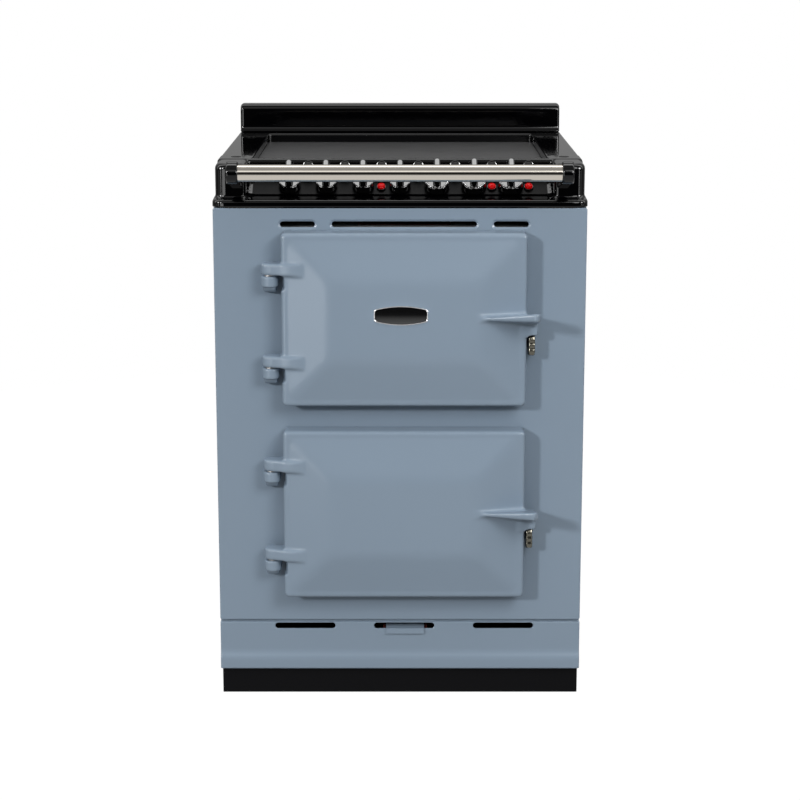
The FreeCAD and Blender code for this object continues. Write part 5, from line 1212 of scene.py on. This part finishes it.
class COOKER_OT_set_stage(bpy.types.Operator):
    """Lay the pale floor, light the studio and set the camera"""
    bl_idname = "cooker.set_stage"
    bl_label = "Set the studio"

    def execute(self, context):
        studio = context.scene.cooker_studio
        context.scene.view_settings.view_transform = "Standard"
        self.lay_floor(studio)
        for lamp in LAMPS:
            for place in lamp.places:
                self.hang(lamp, place, getattr(studio, lamp.power))
        self.room(context.scene, studio)
        self.camera(context.scene, studio)
        return {"FINISHED"}

    def lay_floor(self, studio):
        """Round floor that looks white and keeps the cooker's shadow."""
        count = studio.floor_segments
        angles = [2 * math.pi * index / count for index in range(count)]
        ring = [(studio.floor_size * math.cos(angle), studio.floor_size * math.sin(angle), 0.0)
                for angle in angles]
        mesh = new_mesh("studio_floor", ring, [tuple(range(count))])
        floor = bpy.data.objects.new("studio_floor", mesh)
        bpy.context.scene.collection.objects.link(floor)
        material = bpy.data.materials.new("studio_floor_paint")
        material.use_nodes = True
        mesh.materials.append(material)
        tree = material.node_tree
        paint = tree.nodes["Principled BSDF"]
        paint.inputs["Roughness"].default_value = FLOOR_ROUGHNESS
        paint.inputs["Specular IOR Level"].default_value = 0.0
        tone = effect(tree, "tone_drift", colour=FLOOR_GREY, scale=FLOOR_DRIFT_SCALE,
                      amount=FLOOR_DRIFT)
        tree.links.new(tone.outputs["Colour"], paint.inputs["Base Color"])
        glow = add_node(tree, "ShaderNodeEmission", {"Strength": FLOOR_GLOW})
        seen = ray_mask(tree, "Camera", "Glossy", "Transmission")
        surface = mix_shaders(tree, sum_of(tree, "MULTIPLY", seen, FLOOR_SHARE),
                              paint.outputs["BSDF"], glow.outputs["Emission"])
        tree.links.new(surface, tree.nodes["Material Output"].inputs["Surface"])

    def hang(self, lamp, place, watts):
        """Area light in its place, turned to its target and unseen by the camera."""
        light = bpy.data.lights.new(lamp.name, "AREA")
        light.shape = "RECTANGLE"
        light.size = lamp.width
        light.size_y = lamp.height
        light.energy = watts
        made = bpy.data.objects.new(lamp.name, light)
        made.location = place
        aim = Vector(lamp.target) - made.location
        made.rotation_euler = aim.to_track_quat("-Z", "Y").to_euler()
        made.visible_camera = False
        made.visible_diffuse = not lamp.mirrored_only
        bpy.context.scene.collection.objects.link(made)

    def room(self, scene, studio):
        """White to the camera, plain light on matt surfaces, and soft bands for gloss to mirror."""
        world = bpy.data.worlds.new("studio_room")
        scene.world = world
        world.use_nodes = True
        tree = world.node_tree
        tree.nodes.clear()
        place = add_node(tree, "ShaderNodeTexCoord").outputs["Generated"]
        split = add_node(tree, "ShaderNodeSeparateXYZ", {"Vector": place}).outputs
        angle = sum_of(tree, "ARCTAN2", split["Z"], sum_of(tree, "MULTIPLY", split["Y"], -1.0))
        share = add_node(tree, "ShaderNodeMapRange", {
            "Value": angle, "From Min": math.radians(BAND_START), "From Max": math.pi})
        ramp = add_node(tree, "ShaderNodeValToRGB", {"Fac": share.outputs["Result"]})
        stops = ramp.color_ramp.elements
        while len(stops) < len(BANDS):
            stops.new(0.5)
        for stop, (degrees, level) in zip(stops, BANDS):
            stop.position = (degrees - BAND_START) / (180 - BAND_START)
            stop.color = (*[level / BAND_LEVEL] * 3, 1.0)
        rise = add_node(tree, "ShaderNodeMapRange", {
            "Value": split["Z"], "From Min": FILL_START, "To Min": studio.fill_low,
            "To Max": studio.fill_high})
        mirrored, fill, white = [
            add_node(tree, "ShaderNodeBackground", {"Color": colour, "Strength": level}).outputs[0]
            for colour, level in ((ramp.outputs["Color"], BAND_LEVEL),
                                  (WHITE, rise.outputs["Result"]), (WHITE, 1.0))]
        lit = mix_shaders(tree, ray_mask(tree, "Glossy", "Transmission"), fill, mirrored)
        seen = mix_shaders(tree, ray_mask(tree, "Camera"), lit, white)
        add_node(tree, "ShaderNodeOutputWorld", {"Surface": seen})

    def camera(self, scene, studio):
        """Camera at the photograph's angle."""
        data = bpy.data.cameras.new("photo_camera")
        data.lens = studio.lens
        data.shift_y = studio.shift
        camera = bpy.data.objects.new("photo_camera", data)
        camera.location = (0.0, FRONT - studio.distance, studio.height)
        camera.rotation_euler = (math.pi / 2 - studio.pitch, 0.0, 0.0)
        scene.collection.objects.link(camera)
        scene.camera = camera


OPERATORS = (
    COOKER_OT_dress_frame, COOKER_OT_cast_doors, COOKER_OT_cast_lugs, COOKER_OT_cast_top,
    COOKER_OT_cast_brackets, COOKER_OT_press_panel, COOKER_OT_set_badge, COOKER_OT_turn_knobs,
    COOKER_OT_fit_lamps, COOKER_OT_set_stage)


class COOKER_PT_bench(bpy.types.Panel):
    """Sidebar panel that lists the pieces in the order in which they are made"""
    bl_idname = "COOKER_PT_bench"
    bl_label = "Range cooker"
    bl_space_type = "VIEW_3D"
    bl_region_type = "UI"
    bl_category = "Cooker"

    def draw(self, context):
        for operator in OPERATORS:
            self.layout.operator(operator.bl_idname)


SETTINGS = {
    "cooker_colours": CookerColours,
    "cooker_doors": DoorSizes,
    "cooker_top": TopSizes,
    "cooker_controls": ControlSizes,
    "cooker_badge": BadgeSizes,
    "cooker_panel": PanelSizes,
    "cooker_studio": StudioSettings,
}
CLASSES = (*SETTINGS.values(), *OPERATORS, COOKER_PT_bench)


def register():
    for made in CLASSES:
        bpy.utils.register_class(made)
    for name, group in SETTINGS.items():
        setattr(bpy.types.Scene, name, PointerProperty(type=group))


def unregister():
    for name in SETTINGS:
        delattr(bpy.types.Scene, name)
    for made in reversed(CLASSES):
        bpy.utils.unregister_class(made)


def main():
    register()
    bpy.ops.cooker.dress_frame()
    bpy.ops.cooker.cast_doors()
    bpy.ops.cooker.cast_lugs()
    bpy.ops.cooker.cast_top()
    bpy.ops.cooker.cast_brackets()
    bpy.ops.cooker.press_panel()
    bpy.ops.cooker.set_badge()
    bpy.ops.cooker.turn_knobs()
    bpy.ops.cooker.fit_lamps()
    bpy.ops.cooker.set_stage()


if __name__ == "__main__":
    main()
